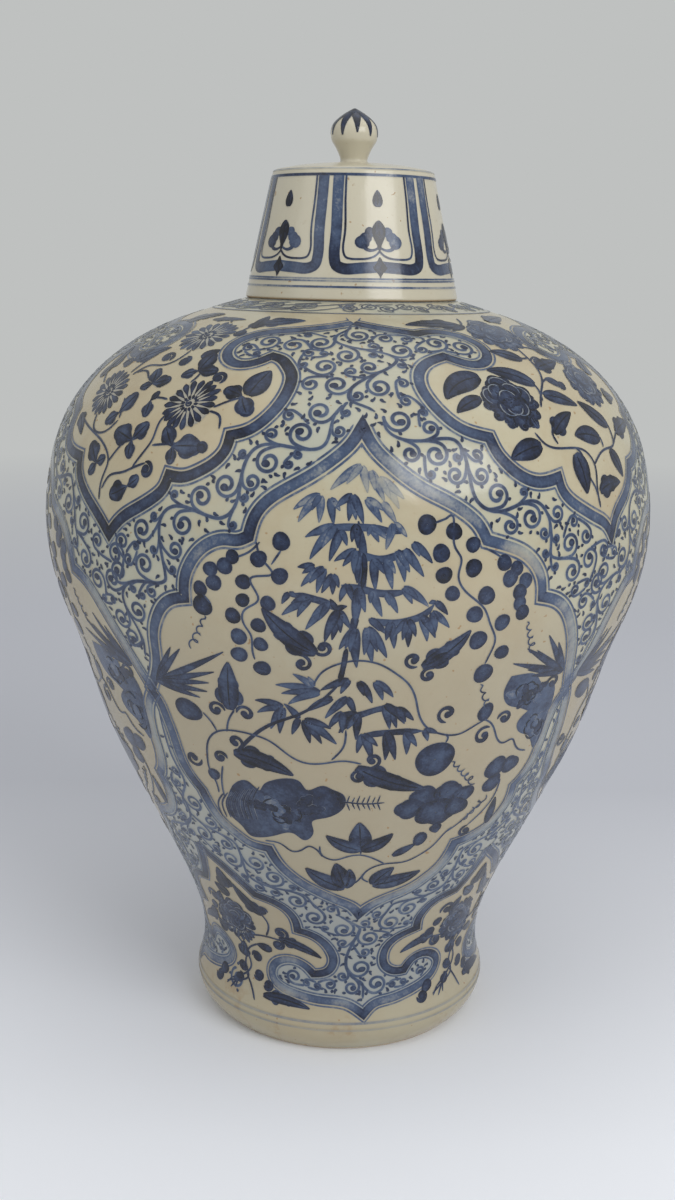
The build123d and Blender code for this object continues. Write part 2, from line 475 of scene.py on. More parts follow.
class NodeHelper:
    def __init__(self, material):
        material.use_nodes = True
        self.tree = material.node_tree
        self.tree.nodes.clear()

    def add(self, kind, inputs=None, **settings):
        node = self.tree.nodes.new("ShaderNode" + kind)
        for key, value in settings.items():
            setattr(node, key, value)
        for key, value in (inputs or {}).items():
            if isinstance(value, bpy.types.NodeSocket):
                self.tree.links.new(value, node.inputs[key])
            else:
                node.inputs[key].default_value = value
        return node

    def noise(self, place, scale, detail=3.0, rough=0.5):
        inputs = {"Vector": place, "Scale": scale, "Detail": detail, "Roughness": rough}
        return self.add("TexNoise", inputs).outputs[0]

    def span(self, value, low, high, to=(0.0, 1.0)):
        return self.add("MapRange", {0: value, 1: low, 2: high, 3: to[0], 4: to[1]}, clamp=True).outputs[0]

    def maths(self, operation, a, b, clamp=False):
        return self.add("Math", {0: a, 1: b}, operation=operation, use_clamp=clamp).outputs[0]

    def mix(self, amount, a, b):
        return self.add("Mix", {0: amount, 6: a, 7: b}, data_type="RGBA").outputs[2]

    def mark(self, name):
        return self.add("Attribute", attribute_name=name, attribute_type="GEOMETRY").outputs["Fac"]

    def bump(self, height, strength, distance, **under):
        inputs = {"Strength": strength, "Distance": distance, "Height": height, **under}
        return self.add("Bump", inputs).outputs[0]

    def notLit(self):  # 1 for the rays that show the room: straight to the camera, mirrored or through glass
        rays = self.add("LightPath").outputs
        seen = self.maths("ADD", rays["Is Camera Ray"], rays["Is Glossy Ray"], clamp=True)
        return self.maths("ADD", seen, rays["Is Transmission Ray"], clamp=True)


# The glaze's colour by place on the pot, the same under the painting as beside it; painted shade low down
def glazeColour(nodes, place):
    cloud = nodes.noise(place, grain["cloud"], 2.0)
    patch = nodes.noise(place, grain["patch"], 4.0, 0.6)
    speck = nodes.noise(place, grain["speck"], 3.0, 0.6)
    height = nodes.add("SeparateXYZ", {0: place}).outputs[2]
    cream = nodes.mix(nodes.span(cloud, 0.36, 0.64), finish["cream"], finish["creamCool"])
    cream = nodes.mix(nodes.span(patch, 0.48, 0.74, (0.0, 0.6)), cream, finish["creamWarm"])
    # painted shade: the cream darker and warmer towards the bottom, less so over the lowest 4 cm
    low = nodes.span(height, *glazeHeights["low"], (0.0, 0.8))
    low = nodes.maths("MULTIPLY", low, nodes.span(height, *glazeHeights["foot"], (0.35, 1.0)))
    cream = nodes.mix(low, cream, finish["creamPaintedShade"])
    cream = nodes.mix(nodes.span(height, *glazeHeights["lid"], (0.0, 0.88)), cream, finish["creamLid"])
    green = nodes.mix(nodes.span(cloud, 0.42, 0.66), finish["ground"], finish["groundCool"])
    # painted shade: the ground darker towards the bottom
    green = nodes.mix(nodes.span(height, *glazeHeights["ground"]), green, finish["groundPaintedShade"])
    green = nodes.mix(nodes.span(patch, 0.54, 0.75, (0.0, 0.45)), green, finish["creamWarm"])
    colour = nodes.mix(nodes.mark("ground"), cream, green)
    colour = nodes.mix(nodes.span(speck, 0.62, 0.74, (0.0, 0.3)), colour, finish["creamWarm"])
    blot = nodes.span(nodes.noise(place, grain["blot"], 4.0, 0.62), 0.58, 0.69)
    pin = nodes.span(nodes.noise(place, grain["pin"], 1.0), 0.745, 0.775)
    blush = nodes.span(nodes.noise(place, grain["blush"], 3.0, 0.55), 0.7, 0.8, (0.0, 0.3))
    stained = nodes.maths("MULTIPLY", blot, nodes.span(height, *glazeHeights["stains"]))
    stained = nodes.maths("MULTIPLY", stained, 0.6)
    colour = nodes.mix(nodes.maths("MAXIMUM", stained, blush), colour, finish["stain"])
    return nodes.mix(nodes.maths("MULTIPLY", pin, 0.7), colour, finish["stain"])


def glazeBump(nodes, place):
    peel = nodes.bump(nodes.noise(place, grain["peel"], 2.0), 0.1, 0.0004)
    return nodes.bump(nodes.noise(place, grain["wave"], 2.0), 0.12, 0.004, Normal=peel)


def glazeFinish(name, painted=False, bareRim=False):
    material = bpy.data.materials.new(name)
    nodes = NodeHelper(material)
    place = nodes.add("TexCoord").outputs["Object"]
    colour = glazeColour(nodes, place)
    rough = finish["roughness"]
    sheen = nodes.span(nodes.noise(place, grain["sheen"]), 0.3, 0.7, (rough - 0.05, rough + 0.07))
    if painted:
        tone = nodes.mark("tone")
        pool = nodes.span(nodes.noise(place, grain["pool"], 3.0, 0.6), 0.3, 0.7, (0.78, 1.16))
        drag = nodes.span(nodes.noise(place, grain["drag"], 2.0, 0.6), 0.3, 0.7, (0.88, 1.1))
        load = nodes.maths("MULTIPLY", nodes.maths("MULTIPLY", tone, pool), drag)
        ramp = nodes.add("ValToRGB", {0: load})
        stops = ramp.color_ramp.elements
        stops[0].position, stops[0].color = 0.1, finish["washPale"]
        stops[1].position, stops[1].color = 1.0, finish["cobaltHeaped"]
        for position, colourName in ((0.38, "wash"), (0.7, "cobalt")):
            stop = stops.new(position)
            stop.color = finish[colourName]
        colour = nodes.mix(nodes.span(load, 0.0, 0.42), colour, ramp.outputs[0])
    if bareRim:
        bare = nodes.mark("bare")
        colour = nodes.mix(bare, colour, finish["bare"])
        sheen = nodes.maths("MAXIMUM", sheen, nodes.maths("MULTIPLY", bare, 0.75))
    shader = nodes.add("BsdfPrincipled", {
        "Base Color": colour, "Roughness": sheen, "Normal": glazeBump(nodes, place),
        "Specular IOR Level": 0.4, "Coat Weight": 0.16, "Coat Roughness": 0.06,
    })
    nodes.add("OutputMaterial", {0: shader.outputs[0]})
    return material


def bareFinish():
    material = bpy.data.materials.new("barePorcelain")
    nodes = NodeHelper(material)
    place = nodes.add("TexCoord").outputs["Object"]
    toast = nodes.span(nodes.noise(place, 60.0, 4.0, 0.6), 0.35, 0.7)
    grit = nodes.noise(place, 1500.0, 3.0)
    colour = nodes.mix(toast, finish["bare"], finish["cream"])
    colour = nodes.mix(nodes.span(grit, 0.62, 0.7, (0.0, 0.5)), colour, finish["stain"])
    rough = nodes.span(grit, 0.3, 0.7, (0.62, 0.8))
    bump = nodes.bump(grit, 0.25, 0.0003)
    shader = nodes.add("BsdfPrincipled", {"Base Color": colour, "Roughness": rough, "Normal": bump})
    nodes.add("OutputMaterial", {0: shader.outputs[0]})
    return material


glaze = glazeFinish("glazedPorcelain", bareRim=True)
painting = glazeFinish("cobaltPainting", painted=True)
barePorcelain = bareFinish()
print("finishes made")


# The jar's four thrown sections, each between its own joint heights


def flat(*points):
    return asRun(longSteps(np.array(points, float), 4.0))


inside = jarInside()
insideRun = asRun(smoothLine(inside[::-1], 3.0))
insideUp = {key: value[::-1] for key, value in insideRun.items()}


def insideAt(height):
    return float(np.interp(height, insideUp["z"], insideUp["r"]))


def outsideAt(height):
    return float(np.interp(height, jarSkin["z"], jarSkin["r"]))


def innerWall(low, high):  # downwards, clay on the left
    wall = cutRun(insideUp, low, high)
    return {key: value[::-1] for key, value in wall.items()}


def outerWall(low, high):
    wall = cutRun(jarSkin, low, high)
    keep = np.unique(np.concatenate([[0], np.arange(1, len(wall["r"]) - 1, 3), [len(wall["r"]) - 1]]))
    return {key: value[keep] for key, value in wall.items()}


def jointFace(height, outward):
    inner, outer = (insideAt(height), height), (outsideAt(height), height)
    return flat(inner, outer) if outward else flat(outer, inner)


def footRuns(low, high):
    ring, recess, floor = jar["foot"][0][0] - jar["footRing"], jar["footRecess"], jar["floor"]
    cornerTop = floor + jar["floorCorner"]
    edge = insideAt(cornerTop)
    bend = [(edge - inward, cornerTop - down) for inward, down in jar["floorBend"]]
    bend.append((edge - jar["floorCorner"], floor))
    return [
        flat((0, recess), (ring, recess)), flat((ring, recess), (ring, 0)),
        flat((ring, 0), (jar["foot"][0][0], 0)),
        outerWall(low, high), jointFace(high, False), innerWall(cornerTop, high),
        asRun(smoothLine(bend, jar["rowStep"])), flat(bend[-1], (0, floor)),
    ]


def shoulderRuns(low, high):
    seat, throat = jar["seat"], jar["throat"]
    ceiling = seat[1] - jar["wallHigh"]
    return [
        outerWall(low, high), flat(seat, (throat, seat[1])), flat((throat, seat[1]), (throat, ceiling)),
        innerWall(low, ceiling), jointFace(low, True),
    ]


def middleRuns(low, high):
    return [outerWall(low, high), jointFace(high, False), innerWall(low, high), jointFace(low, True)]


def jarPiece(node, runs):
    low, high = (round(corner.z / mm, 3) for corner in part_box(node))
    piece = turnedMesh(node + "_glazed", runs(low, high), {"ground": groundMark, "bare": footBareMark})
    piece.data.materials.append(glaze)
    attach(piece, "jar")
    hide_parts(node)
    print("clay:", piece.name, len(piece.data.polygons), "faces")


jarPiece("foot_section", footRuns)
jarPiece("flank_section", middleRuns)
jarPiece("belly_section", middleRuns)
jarPiece("shoulder_section", shoulderRuns)


# The lid, from its rim up, and its knob

lid = {
    "rim": 52.3, "top": 38.9, "sideHeight": 60.0, "dome": 3.8, "edgeRound": 2.8, "rimRound": 1.2,
    "wall": 5.0, "topWall": 6.0, "stem": 6.6,
}
knob = {
    "height": 25.2, "radius": 11.3, "widest": 13.8, "flames": 10,
    "stem": ((0.0, 0.66), (0.05, 0.6), (0.15, 0.585), (0.3, 0.65), (0.5, 0.77), (0.62, 0.86), (0.7, 0.925)),
    "point": ((0.3, 0.93), (0.58, 0.69), (0.8, 0.38)),
}
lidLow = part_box("lid_cap")[0].z / mm
lidTop = lidLow + lid["sideHeight"]
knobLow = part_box("lid_knob")[0].z / mm


def lidLines():
    steps, dome = 8, []
    for k in range(steps + 1):
        left = 1 - k / steps
        rise = lid["dome"] * (1 - left**2 * 0.96 - 0.04 * left)
        dome.append((share(lid["top"], lid["stem"], k / steps), lidTop + rise))
    rimMiddle = (lid["rim"] - lid["wall"] / 2, lidLow)
    rimInside = (lid["rim"] - lid["wall"], lidLow)
    ceiling = lidTop - lid["topWall"]
    under = roundedLine(
        [(0, ceiling), (lid["top"] - lid["wall"], ceiling), rimInside, rimMiddle],
        [0, lid["edgeRound"], lid["rimRound"], 0])
    over = roundedLine(
        [rimMiddle, (lid["rim"], lidLow), *dome],
        [0, lid["rimRound"], lid["edgeRound"]] + [0] * steps)
    return longSteps(under, 4.0), longSteps(over, 1.5)


underLid, overLid = lidLines()
lidSkin = asSurface(asRun(overLid))


def lidBareMark(angle, radius, height):
    return np.where((height < lidLow + 0.9) & (radius < lid["rim"]), 1.0, 0.0)


def unmarked(angle, radius, height):
    return np.zeros(len(angle))


def knobLine():
    wide, tall = knob["radius"], knob["widest"]
    above = knob["height"] - tall
    points = [(lid["stem"], knobLow)]
    points += [(wide * out, knobLow + tall * up) for up, out in knob["stem"]]
    points.append((wide, knobLow + tall))
    points += [(wide * out, knobLow + tall + above * up) for up, out in knob["point"]]
    points.append((0, knobLow + knob["height"]))
    return smoothLine(points, 0.4)


lidFlat = flat((lid["stem"], lidTop + lid["dome"]), (0, lidTop + lid["dome"]))
capMarks = {"ground": unmarked, "bare": lidBareMark}
cap = turnedMesh("lid_cap_glazed", [asRun(underLid), lidSkin, lidFlat], capMarks)
cap.data.materials.append(glaze)
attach(cap, "lid")
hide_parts("lid_cap")

knobSkin = asSurface(asRun(knobLine()))
knobSkin["r"][-1] = 0.0
bud = turnedMesh(
    "lid_knob_glazed", [flat((0, knobLow), (lid["stem"], knobLow)), knobSkin],
    {"ground": unmarked, "bare": unmarked}, 96)
bud.data.materials.append(glaze)
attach(bud, "lid")
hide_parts("lid_knob")

for node, material in (("neck", glaze), ("lid_sleeve", barePorcelain)):
    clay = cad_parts[node]
    clay.data.materials.clear()
    clay.data.materials.append(material)
print("lid made")


# Paint. Every mark is a patch of a grid on the sheet; its skirt fades to nothing just above the glaze.

layer = {  # lifts above the glaze, and the skirt's width, in millimetres
    "skirt": 0.1, "first": 0.12, "rise": 0.06, "nudge": 0.0012, "nudges": 40, "skirtWidth": 0.22,
}
brush = {"broad": 0.9, "flank": 0.45, "mitre": 0.45, "tip": 0.12, "leastHalf": 0.12, "vary": 0.12}
hand = random.Random(5864)


def newPaint(skin, turn=0.0):
    grids = {key: [] for key in ("u", "v", "lift", "tone", "quads")}
    return {"skin": skin, "turn": turn, "count": 0, "marks": 0, **grids}


def onSheet(paint, points):  # places in millimetres, from the paint's own meridian
    return toSheet(paint["skin"], points, paint["turn"])


def coreLift(paint, level):
    paint["marks"] += 1
    return layer["first"] + layer["rise"] * level + layer["nudge"] * (paint["marks"] % layer["nudges"])


def addPatch(paint, u, v, lift, tone, wrap=False):
    rows, columns = u.shape
    index = np.arange(rows * columns).reshape(rows, columns) + paint["count"]
    if wrap:
        index = np.hstack([index, index[:, :1]])
    quads = np.stack([index[:-1, :-1], index[:-1, 1:], index[1:, 1:], index[1:, :-1]], -1).reshape(-1, 4)
    corners = np.stack([u.ravel(), v.ravel()], 1)[quads - paint["count"]]
    first, second = corners[:, 2] - corners[:, 0], corners[:, 3] - corners[:, 1]
    area = first[:, 0] * second[:, 1] - first[:, 1] * second[:, 0]
    if np.median(area) < 0:
        quads, area = quads[:, ::-1], -area
    quads = quads[area > 0]  # a ribbon folds over at a sharp cusp, and its neighbours cover that place
    for key, value in (("u", u), ("v", v), ("lift", lift), ("tone", tone)):
        paint[key].append(np.broadcast_to(value, u.shape).ravel())
    paint["quads"].append(quads)
    paint["count"] += rows * columns


# A ribbon along a sheet line. Half-widths in millimetres, one for each point.
def ribbon(paint, line, half, tone, level, edge=1.08, middle=0.9, skirt=layer["skirtWidth"]):
    tangent = np.gradient(line, axis=0)
    ahead = unit(np.diff(line, axis=0))
    tangent[1:-1] = ahead[1:] + ahead[:-1]
    length = np.maximum(np.hypot(*tangent.T), tiny)
    mitre = np.ones(len(line))
    mitre[1:-1] = 1 / np.clip(length[1:-1] / 2, brush["mitre"], 1)
    side = rightOf(tangent / length[:, None])
    scale = perMm(paint["skin"], line[:, 1])
    if half.max() > brush["broad"]:
        across = np.array([-1, -1, -brush["flank"], brush["flank"], 1, 1])
        tones = np.array([0, edge, middle, middle, edge, 0])
    else:
        across, tones = np.array([-1, -1, 1, 1]), np.array([0, 1, 1, 0])
    outer = np.zeros(len(across))
    outer[[0, -1]] = 1
    offsets = half[:, None] * across + np.sign(across) * outer * skirt
    offsets = offsets * (mitre * scale)[:, None]
    u = line[:, :1] + side[:, :1] * offsets
    v = line[:, 1:] + side[:, 1:] * offsets
    lift = np.where(outer, layer["skirt"], coreLift(paint, level))
    addPatch(paint, u, v, lift, tones * np.asarray(tone).reshape(-1, 1))


def brushLoad(count, tone, vary=brush["vary"]):  # the brush runs paler and darker along a stroke
    wave = hand.uniform(0, 6.28)
    t = np.linspace(0, 1, count)
    return tone * (1 + vary * np.sin(wave + t * hand.uniform(3, 9)))


# Points in millimetres, or on the sheet if ready. Width may be one value, or several spread along the line.
def stroke(paint, points, width, tone, level=3, taper=(1.5, 2.5), step=0.8, ready=False,
           skirt=layer["skirtWidth"]):
    line = np.array(points, float) if ready else smoothLine(onSheet(paint, points), step)
    count = len(line)
    real = travelled(line) / perMm(paint["skin"], line[:, 1]).mean()
    widths = np.atleast_1d(np.array(width, float))
    half = np.interp(np.linspace(0, 1, count), np.linspace(0, 1, len(widths)), widths) / 2
    start = np.clip(real / taper[0], brush["tip"], 1) ** 0.7
    end = np.clip((real[-1] - real) / taper[1], brush["tip"], 1) ** 0.7
    ribbon(paint, line, half * start * end, brushLoad(count, tone), level, skirt=skirt)


# A filled shape round a centre: radii in millimetres, one for each direction
def filled(paint, centre, radii, tone, level, inner, angle, ready):
    middle = np.array(centre, float) if ready else onSheet(paint, [centre])[0]
    scale = float(perMm(paint["skin"], middle[1]))
    turn = np.arange(len(radii)) * 2 * math.pi / len(radii) + angle
    rings = [radii * ring for ring in (0.03, 0.35, 0.68, 0.9, 1.0)]
    grid = np.array(rings + [radii + layer["skirtWidth"]]) * scale
    tones = np.array([inner, inner, (inner + 1) / 2, 1.0, 1.05, 0]) * tone
    lift = np.array([coreLift(paint, level)] * len(rings) + [layer["skirt"]])
    u = middle[0] + grid * np.cos(turn)
    v = middle[1] + grid * np.sin(turn)
    addPatch(paint, u, v, lift[:, None], tones[:, None], wrap=True)


def blob(paint, centre, radius, stretch=1.0, angle=0.0, tone=0.85, level=2, lobes=0, depth=0.0, inner=0.85,
         ready=False):
    count = max(14, int(radius * 5), lobes * 8)
    turn = np.arange(count) * 2 * math.pi / count
    long, short = radius * stretch, radius
    radii = long * short / np.hypot(short * np.cos(turn), long * np.sin(turn))
    if lobes:
        radii = radii * (1 + depth * (np.abs(np.cos(turn * lobes / 2)) - 0.6))
    wobble = hand.uniform(0, 6.28)
    radii = radii * (1 + 0.04 * np.sin(2 * turn + wobble) + 0.03 * np.sin(3 * turn - wobble))
    filled(paint, centre, radii, tone, level, inner, math.radians(angle), ready)


# A leaf or petal: one loaded stroke that swells, widest at the belly's share of its length
def leaf(paint, base, tip, width, bend, tone, level, vein, belly, fade=0.0):
    base, tip = np.array(base, float), np.array(tip, float)
    along = tip - base
    side = np.array([-along[1], along[0]])
    middle = (base + tip) / 2 + side * bend
    t = np.linspace(0, 1, 13)[:, None]
    points = (1 - t) ** 2 * base + 2 * t * (1 - t) * middle + t**2 * tip
    line = smoothLine(onSheet(paint, points), 0.9)
    t = np.linspace(0, 1, len(line))
    swell = np.sin(np.pi * (0.03 + 0.955 * t) ** (math.log(0.5) / math.log(belly))) ** 0.75
    load = brushLoad(len(line), tone) * (1 - fade * t)
    ribbon(paint, line, np.maximum(swell * width / 2, brush["leastHalf"]), load, level, 1.12, 0.82)
    if vein:
        stroke(paint, points[1:-1], vein, min(1.1, tone + 0.22), level + 1, (1.5, 3))


# A tendril that winds up on itself: from radius at angle start, down to a share of it
def spiralLine(middle, radius, turns, start, sense, scale, inner, tail):
    t = np.linspace(0, 1, max(10, int(turns * 16)))
    size = radius * (1 - (1 - inner) * t) * scale
    angle = start + sense * turns * 2 * math.pi * t
    line = np.stack([middle[0] + size * np.cos(angle), middle[1] + size * np.sin(angle)], 1)
    return line if tail is None else np.vstack([tail, line])


def curl(paint, centre, radius, turns, start, sense, width, tone, bulb, level=3, stem=()):
    middle = onSheet(paint, [centre])[0]
    scale = float(perMm(paint["skin"], middle[1]))
    tail = onSheet(paint, stem) if len(stem) else None
    line = smoothLine(spiralLine(middle, radius, turns, math.radians(start), sense, scale, 0.18, tail), 0.55)
    heavy = 1.15 if bulb < 2 else 1.9
    stroke(paint, line, [width, width, width * heavy], tone, level, (2.0, 0.1), ready=True)
    blob(paint, line[-1], width * bulb / 2 + 0.2, tone=tone, level=level, ready=True)


def finishPaint(paint, name, body):
    used, quads = np.unique(np.vstack(paint["quads"]), return_inverse=True)
    quads = quads.reshape(-1, 4)
    u, v, lift, tone = (np.concatenate(paint[key])[used] for key in ("u", "v", "lift", "tone"))
    skin = paint["skin"]
    arc = np.interp(v, skin["v"], skin["arc"])
    r, z, nr, nz = (np.interp(arc, skin["arc"], skin[key]) for key in ("r", "z", "nr", "nz"))
    angle = u / sheetRadius
    r, z = (r + nr * lift) * mm, (z + nz * lift) * mm
    places = np.stack([r * np.sin(angle), -r * np.cos(angle), z], 1)
    normals = np.stack([nr * np.sin(angle), -nr * np.cos(angle), nz], 1)
    mesh = bpy.data.meshes.new(name)
    mesh.from_pydata(places.tolist(), [], quads.tolist())
    mesh.polygons.foreach_set("use_smooth", [True] * len(mesh.polygons))
    addMark(mesh, "tone", tone)
    addMark(mesh, "ground", isGround(u, v) if skin is jarSkin else np.zeros(len(u)))
    corner = np.zeros(len(mesh.loops), int)
    mesh.loops.foreach_get("vertex_index", corner)
    flatU, flatV = ((way - way.min()) / (np.ptp(way) + tiny) * 0.98 + 0.01 for way in (u, v))
    bake = mesh.uv_layers.new(name="OFBake")
    bake.data.foreach_set("uv", np.stack([flatU[corner], flatV[corner]], 1).ravel())
    mesh.normals_split_custom_set_from_vertices(normals.tolist())
    mesh.materials.append(painting)
    piece = addObject(name, mesh)
    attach(piece, body)
    print("painted:", name, len(quads), "patches")


# A border: a broad dark band with a fine line along each side

cusp = {"bend": 0.35, "spread": 7.0}  # least turn in radians, and over how many points its colour spreads
lineBreak = 6  # a fine line stops where its points jump further than this
borderLooks = {
    "panel": {
        "band": 4.6, "beside": 3.6, "line": 0.8, "tone": 0.4, "lineTone": 0.44, "vary": 0.28, "cusp": 0.3,
    },
    "collar": {
        "band": 4.6, "beside": 3.6, "line": 0.8, "tone": 0.68, "lineTone": 0.44, "vary": 0.2, "cusp": 0.2,
    },
    "foot": {
        "band": 3.8, "beside": 3.0, "line": 0.7, "tone": 0.56, "lineTone": 0.44, "vary": 0.28, "cusp": 0.3,
    },
}


def besideLine(path, distance, skin, closed):
    scale = perMm(skin, path[:, 1])
    ring = np.vstack([path[-2:-1], path, path[1:2]]) if closed else np.vstack([path[:1], path, path[-1:]])
    ahead = unit(np.diff(ring, axis=0))
    joined = ahead[1:] + ahead[:-1]
    length = np.maximum(np.hypot(*joined.T), tiny)
    mitre = 1 / np.clip(length / 2, 0.4, 1)
    moved = path + rightOf(joined / length[:, None]) * (distance * scale * mitre)[:, None]
    away = np.hypot(moved[:, None, 0] - path[None, :, 0], moved[:, None, 1] - path[None, :, 1]).min(1)
    return moved[away > abs(distance) * scale * 0.97]


def border(paint, path, look, closed):
    if closed:  # joined halfway along a stretch, so that the peak stays sharp
        path = np.vstack([path[20:-1], path[:21]])
    count = len(path)
    swell = 1 + 0.05 * np.sin(np.linspace(0, 37, count) + hand.uniform(0, 6))
    half = np.full(count, look["band"] / 2) * swell
    ahead = np.diff(path, axis=0)
    course = np.unwrap(np.arctan2(ahead[:, 1], ahead[:, 0]))
    cusps = np.nonzero(np.abs(np.diff(course)) > cusp["bend"])[0] + 1
    load = brushLoad(count, look["tone"], look["vary"])
    for k in range(5):
        load = load * (1 + 0.07 * np.sin(np.linspace(0, hand.uniform(20, 90), count) + hand.uniform(0, 6)))
    for place in cusps:  # the brush rests there, and leaves more colour
        load = load + look["cusp"] * np.exp(-((np.arange(count) - place) / cusp["spread"]) ** 2)
    ribbon(paint, path, half, load, 1, 1.1, 0.86, 0.3)
    for side in (-1, 1):
        line = besideLine(path, side * look["beside"], paint["skin"], closed)
        jumps = np.nonzero(np.hypot(*np.diff(line, axis=0).T) > lineBreak)[0] + 1
        for piece in np.split(line, jumps):
            if len(piece) > 4:
                stroke(paint, piece, look["line"], look["lineTone"], 2, (0.5, 0.5), ready=True)


for name, paths in (("panel", panelPaths), ("collar", upperPaths), ("foot", lowerPaths)):
    for k, path in enumerate(paths):
        paint = newPaint(jarSkin)
        border(paint, path, borderLooks[name], name == "panel")
        finishPaint(paint, f"{name}_border_{k + 1}", "jar")


# Marks that the painter repeats

lobePairs = ((0.27, 0.26, 0.31), (0.55, 0.17, 0.24))  # along a leaf, out from its middle, radius, as shares
chrysanthemumLook = {
    "petals": 19, "heart": 0.25, "wash": 0.84, "petal": 0.225, "petalFrom": 1.15, "belly": 0.74, "seeds": 12,
}
peonyLook = {
    "facing": 90,
    "frills": (7, 27, 0.78, 0.3),  # how many, degrees between them, how far out, radius
    "stamens": (11, 19, 1.02, 0.075),
    "petals": (  # angle from the way that the flower faces, distance and radius as shares
        (70, 0.62, 0.44), (-70, 0.62, 0.46), (0, 0.66, 0.5), (35, 0.5, 0.4), (-35, 0.5, 0.42),
        (140, 0.34, 0.42), (-140, 0.36, 0.42), (180, 0.25, 0.4), (0, 0.12, 0.42),
    ),
}


def filledOutline(paint, centre, outline, tone, level):
    ring = smoothLine(onSheet(paint, [*outline, outline[0]]), 1.0)[:-1]
    middle = onSheet(paint, [centre])[0]
    scale = float(perMm(paint["skin"], middle[1]))
    spokes = ring - middle
    size = np.hypot(*spokes.T)[:, None]
    rows = [middle + spokes * step for step in (0.03, 0.3, 0.6, 0.85, 1.0)]
    lift = np.array([coreLift(paint, level)] * len(rows) + [layer["skirt"]])[:, None]
    rows.append(middle + spokes * (1 + layer["skirtWidth"] * scale / size))
    grid = np.array(rows)
    tones = np.array([0.86, 0.86, 0.86, 0.95, 1.06, 0])[:, None] * tone * brushLoad(len(ring), 1.0, 0.1)
    addPatch(paint, grid[:, :, 0], grid[:, :, 1], lift, tones, wrap=True)


def polar(spot, angle, distance):
    way = math.radians(angle)
    return (spot[0] + distance * math.cos(way), spot[1] + distance * math.sin(way))


def heading(start, end):
    return math.degrees(math.atan2(end[1] - start[1], end[0] - start[0]))


def sideLobes(paint, base, tip, width, bend, pairs, tone):
    along = np.subtract(tip, base)
    long = np.hypot(*along)
    side = np.array([-along[1], along[0]]) / long
    for part, out, size in lobePairs[:pairs]:
        for way in (-1, 1):
            swayed = bend * long * 2 * part * (1 - part)
            centre = np.array(base) + along * part + side * (swayed + way * out * width)
            load = tone * hand.uniform(0.86, 1.06)
            blob(paint, centre, size * width, 1.2, heading(base, tip) + 25 * way, load, 2)


def leaves(paint, rows, tone=0.85):  # base, tip, width, bend, lobes
    for base, tip, width, bend, lobes in rows:
        load = tone * hand.uniform(0.86, 1.12)
        if lobes:
            sideLobes(paint, base, tip, width, bend, lobes - 1, load)
        leaf(paint, base, tip, width * (0.82 if lobes else 1), bend, load, 3, 0.6 if width > 6 else 0, 0.4)


def sprig(paint, node, tips):  # broad lobes from one node
    for tip in tips:
        load = 0.88 * hand.uniform(0.82, 1.12)
        reach, angle = math.dist(node, tip), heading(node, tip)
        blob(paint, polar(node, angle, reach * 0.6), reach * 0.37, 1.1, angle, load, 2, 3, 0.22)
        leaf(paint, node, tip, reach * 0.66, hand.uniform(-0.08, 0.08), load, 3, 0.6, 0.6)


def chrysanthemum(shapes, lines, spot, radius, tone):
    look = chrysanthemumLook
    heart = radius * look["heart"]
    blob(shapes, spot, radius * look["wash"], tone=0.2, level=1)
    for k in range(look["petals"]):
        angle = 360 * k / look["petals"] + hand.uniform(-1.5, 1.5)
        tip = polar(spot, angle, radius * hand.uniform(0.93, 1.03))
        load = tone * hand.uniform(0.9, 1.12)
        base = polar(spot, angle, heart * look["petalFrom"])
        leaf(shapes, base, tip, radius * look["petal"], 0, load, 2, 0, look["belly"])
    curl(lines, spot, heart * 0.62, 1.2, 90, 1, 0.6, tone, 1.8)
    for k in range(look["seeds"]):
        angle = 360 / look["seeds"] * k
        blob(lines, polar(spot, angle, heart), 0.62, 1.5, angle, tone=tone * 1.1, level=4)


def peony(shapes, lines, spot, size, tone):  # heaped round petals over a frilled edge
    facing = peonyLook["facing"]
    frills, apart, reach, broad = peonyLook["frills"]
    for k in range(frills):
        angle = facing + 180 + (k - frills // 2) * apart
        blob(shapes, polar(spot, angle, size * reach), size * broad, 1.25, angle, tone, 1, 4, 0.2, 0.72)
    for turn, reach, broad in peonyLook["petals"]:
        angle = facing + turn
        middle = polar(spot, angle, size * reach)
        blob(shapes, middle, size * broad, 1.1, angle + 90, tone, 2, 5, 0.16, 0.7)
        arc = [polar(middle, angle - 75 + 30 * q, size * broad * 0.8) for q in range(6)]
        stroke(lines, arc, 0.42, 0.36, 3, (1, 1))
    stamens, apart, reach, broad = peonyLook["stamens"]
    for k in range(stamens):
        there = polar(spot, facing + 180 + (k - stamens // 2) * apart, size * reach)
        blob(lines, there, size * broad, tone=tone * 1.1, level=4)


def vines(paint, rows, width, tone):
    for points in rows:
        stroke(paint, points, width, tone, 3, (0.6, 1.6))


def curls(paint, rows, width):  # spot, radius, angle it starts at, which way it winds
    for spot, radius, start, sense in rows:
        curl(paint, spot, radius, 0.95, start, sense, width * 1.6, 0.88, 2.1)


# The bamboo, grape and rock garden in each main panel

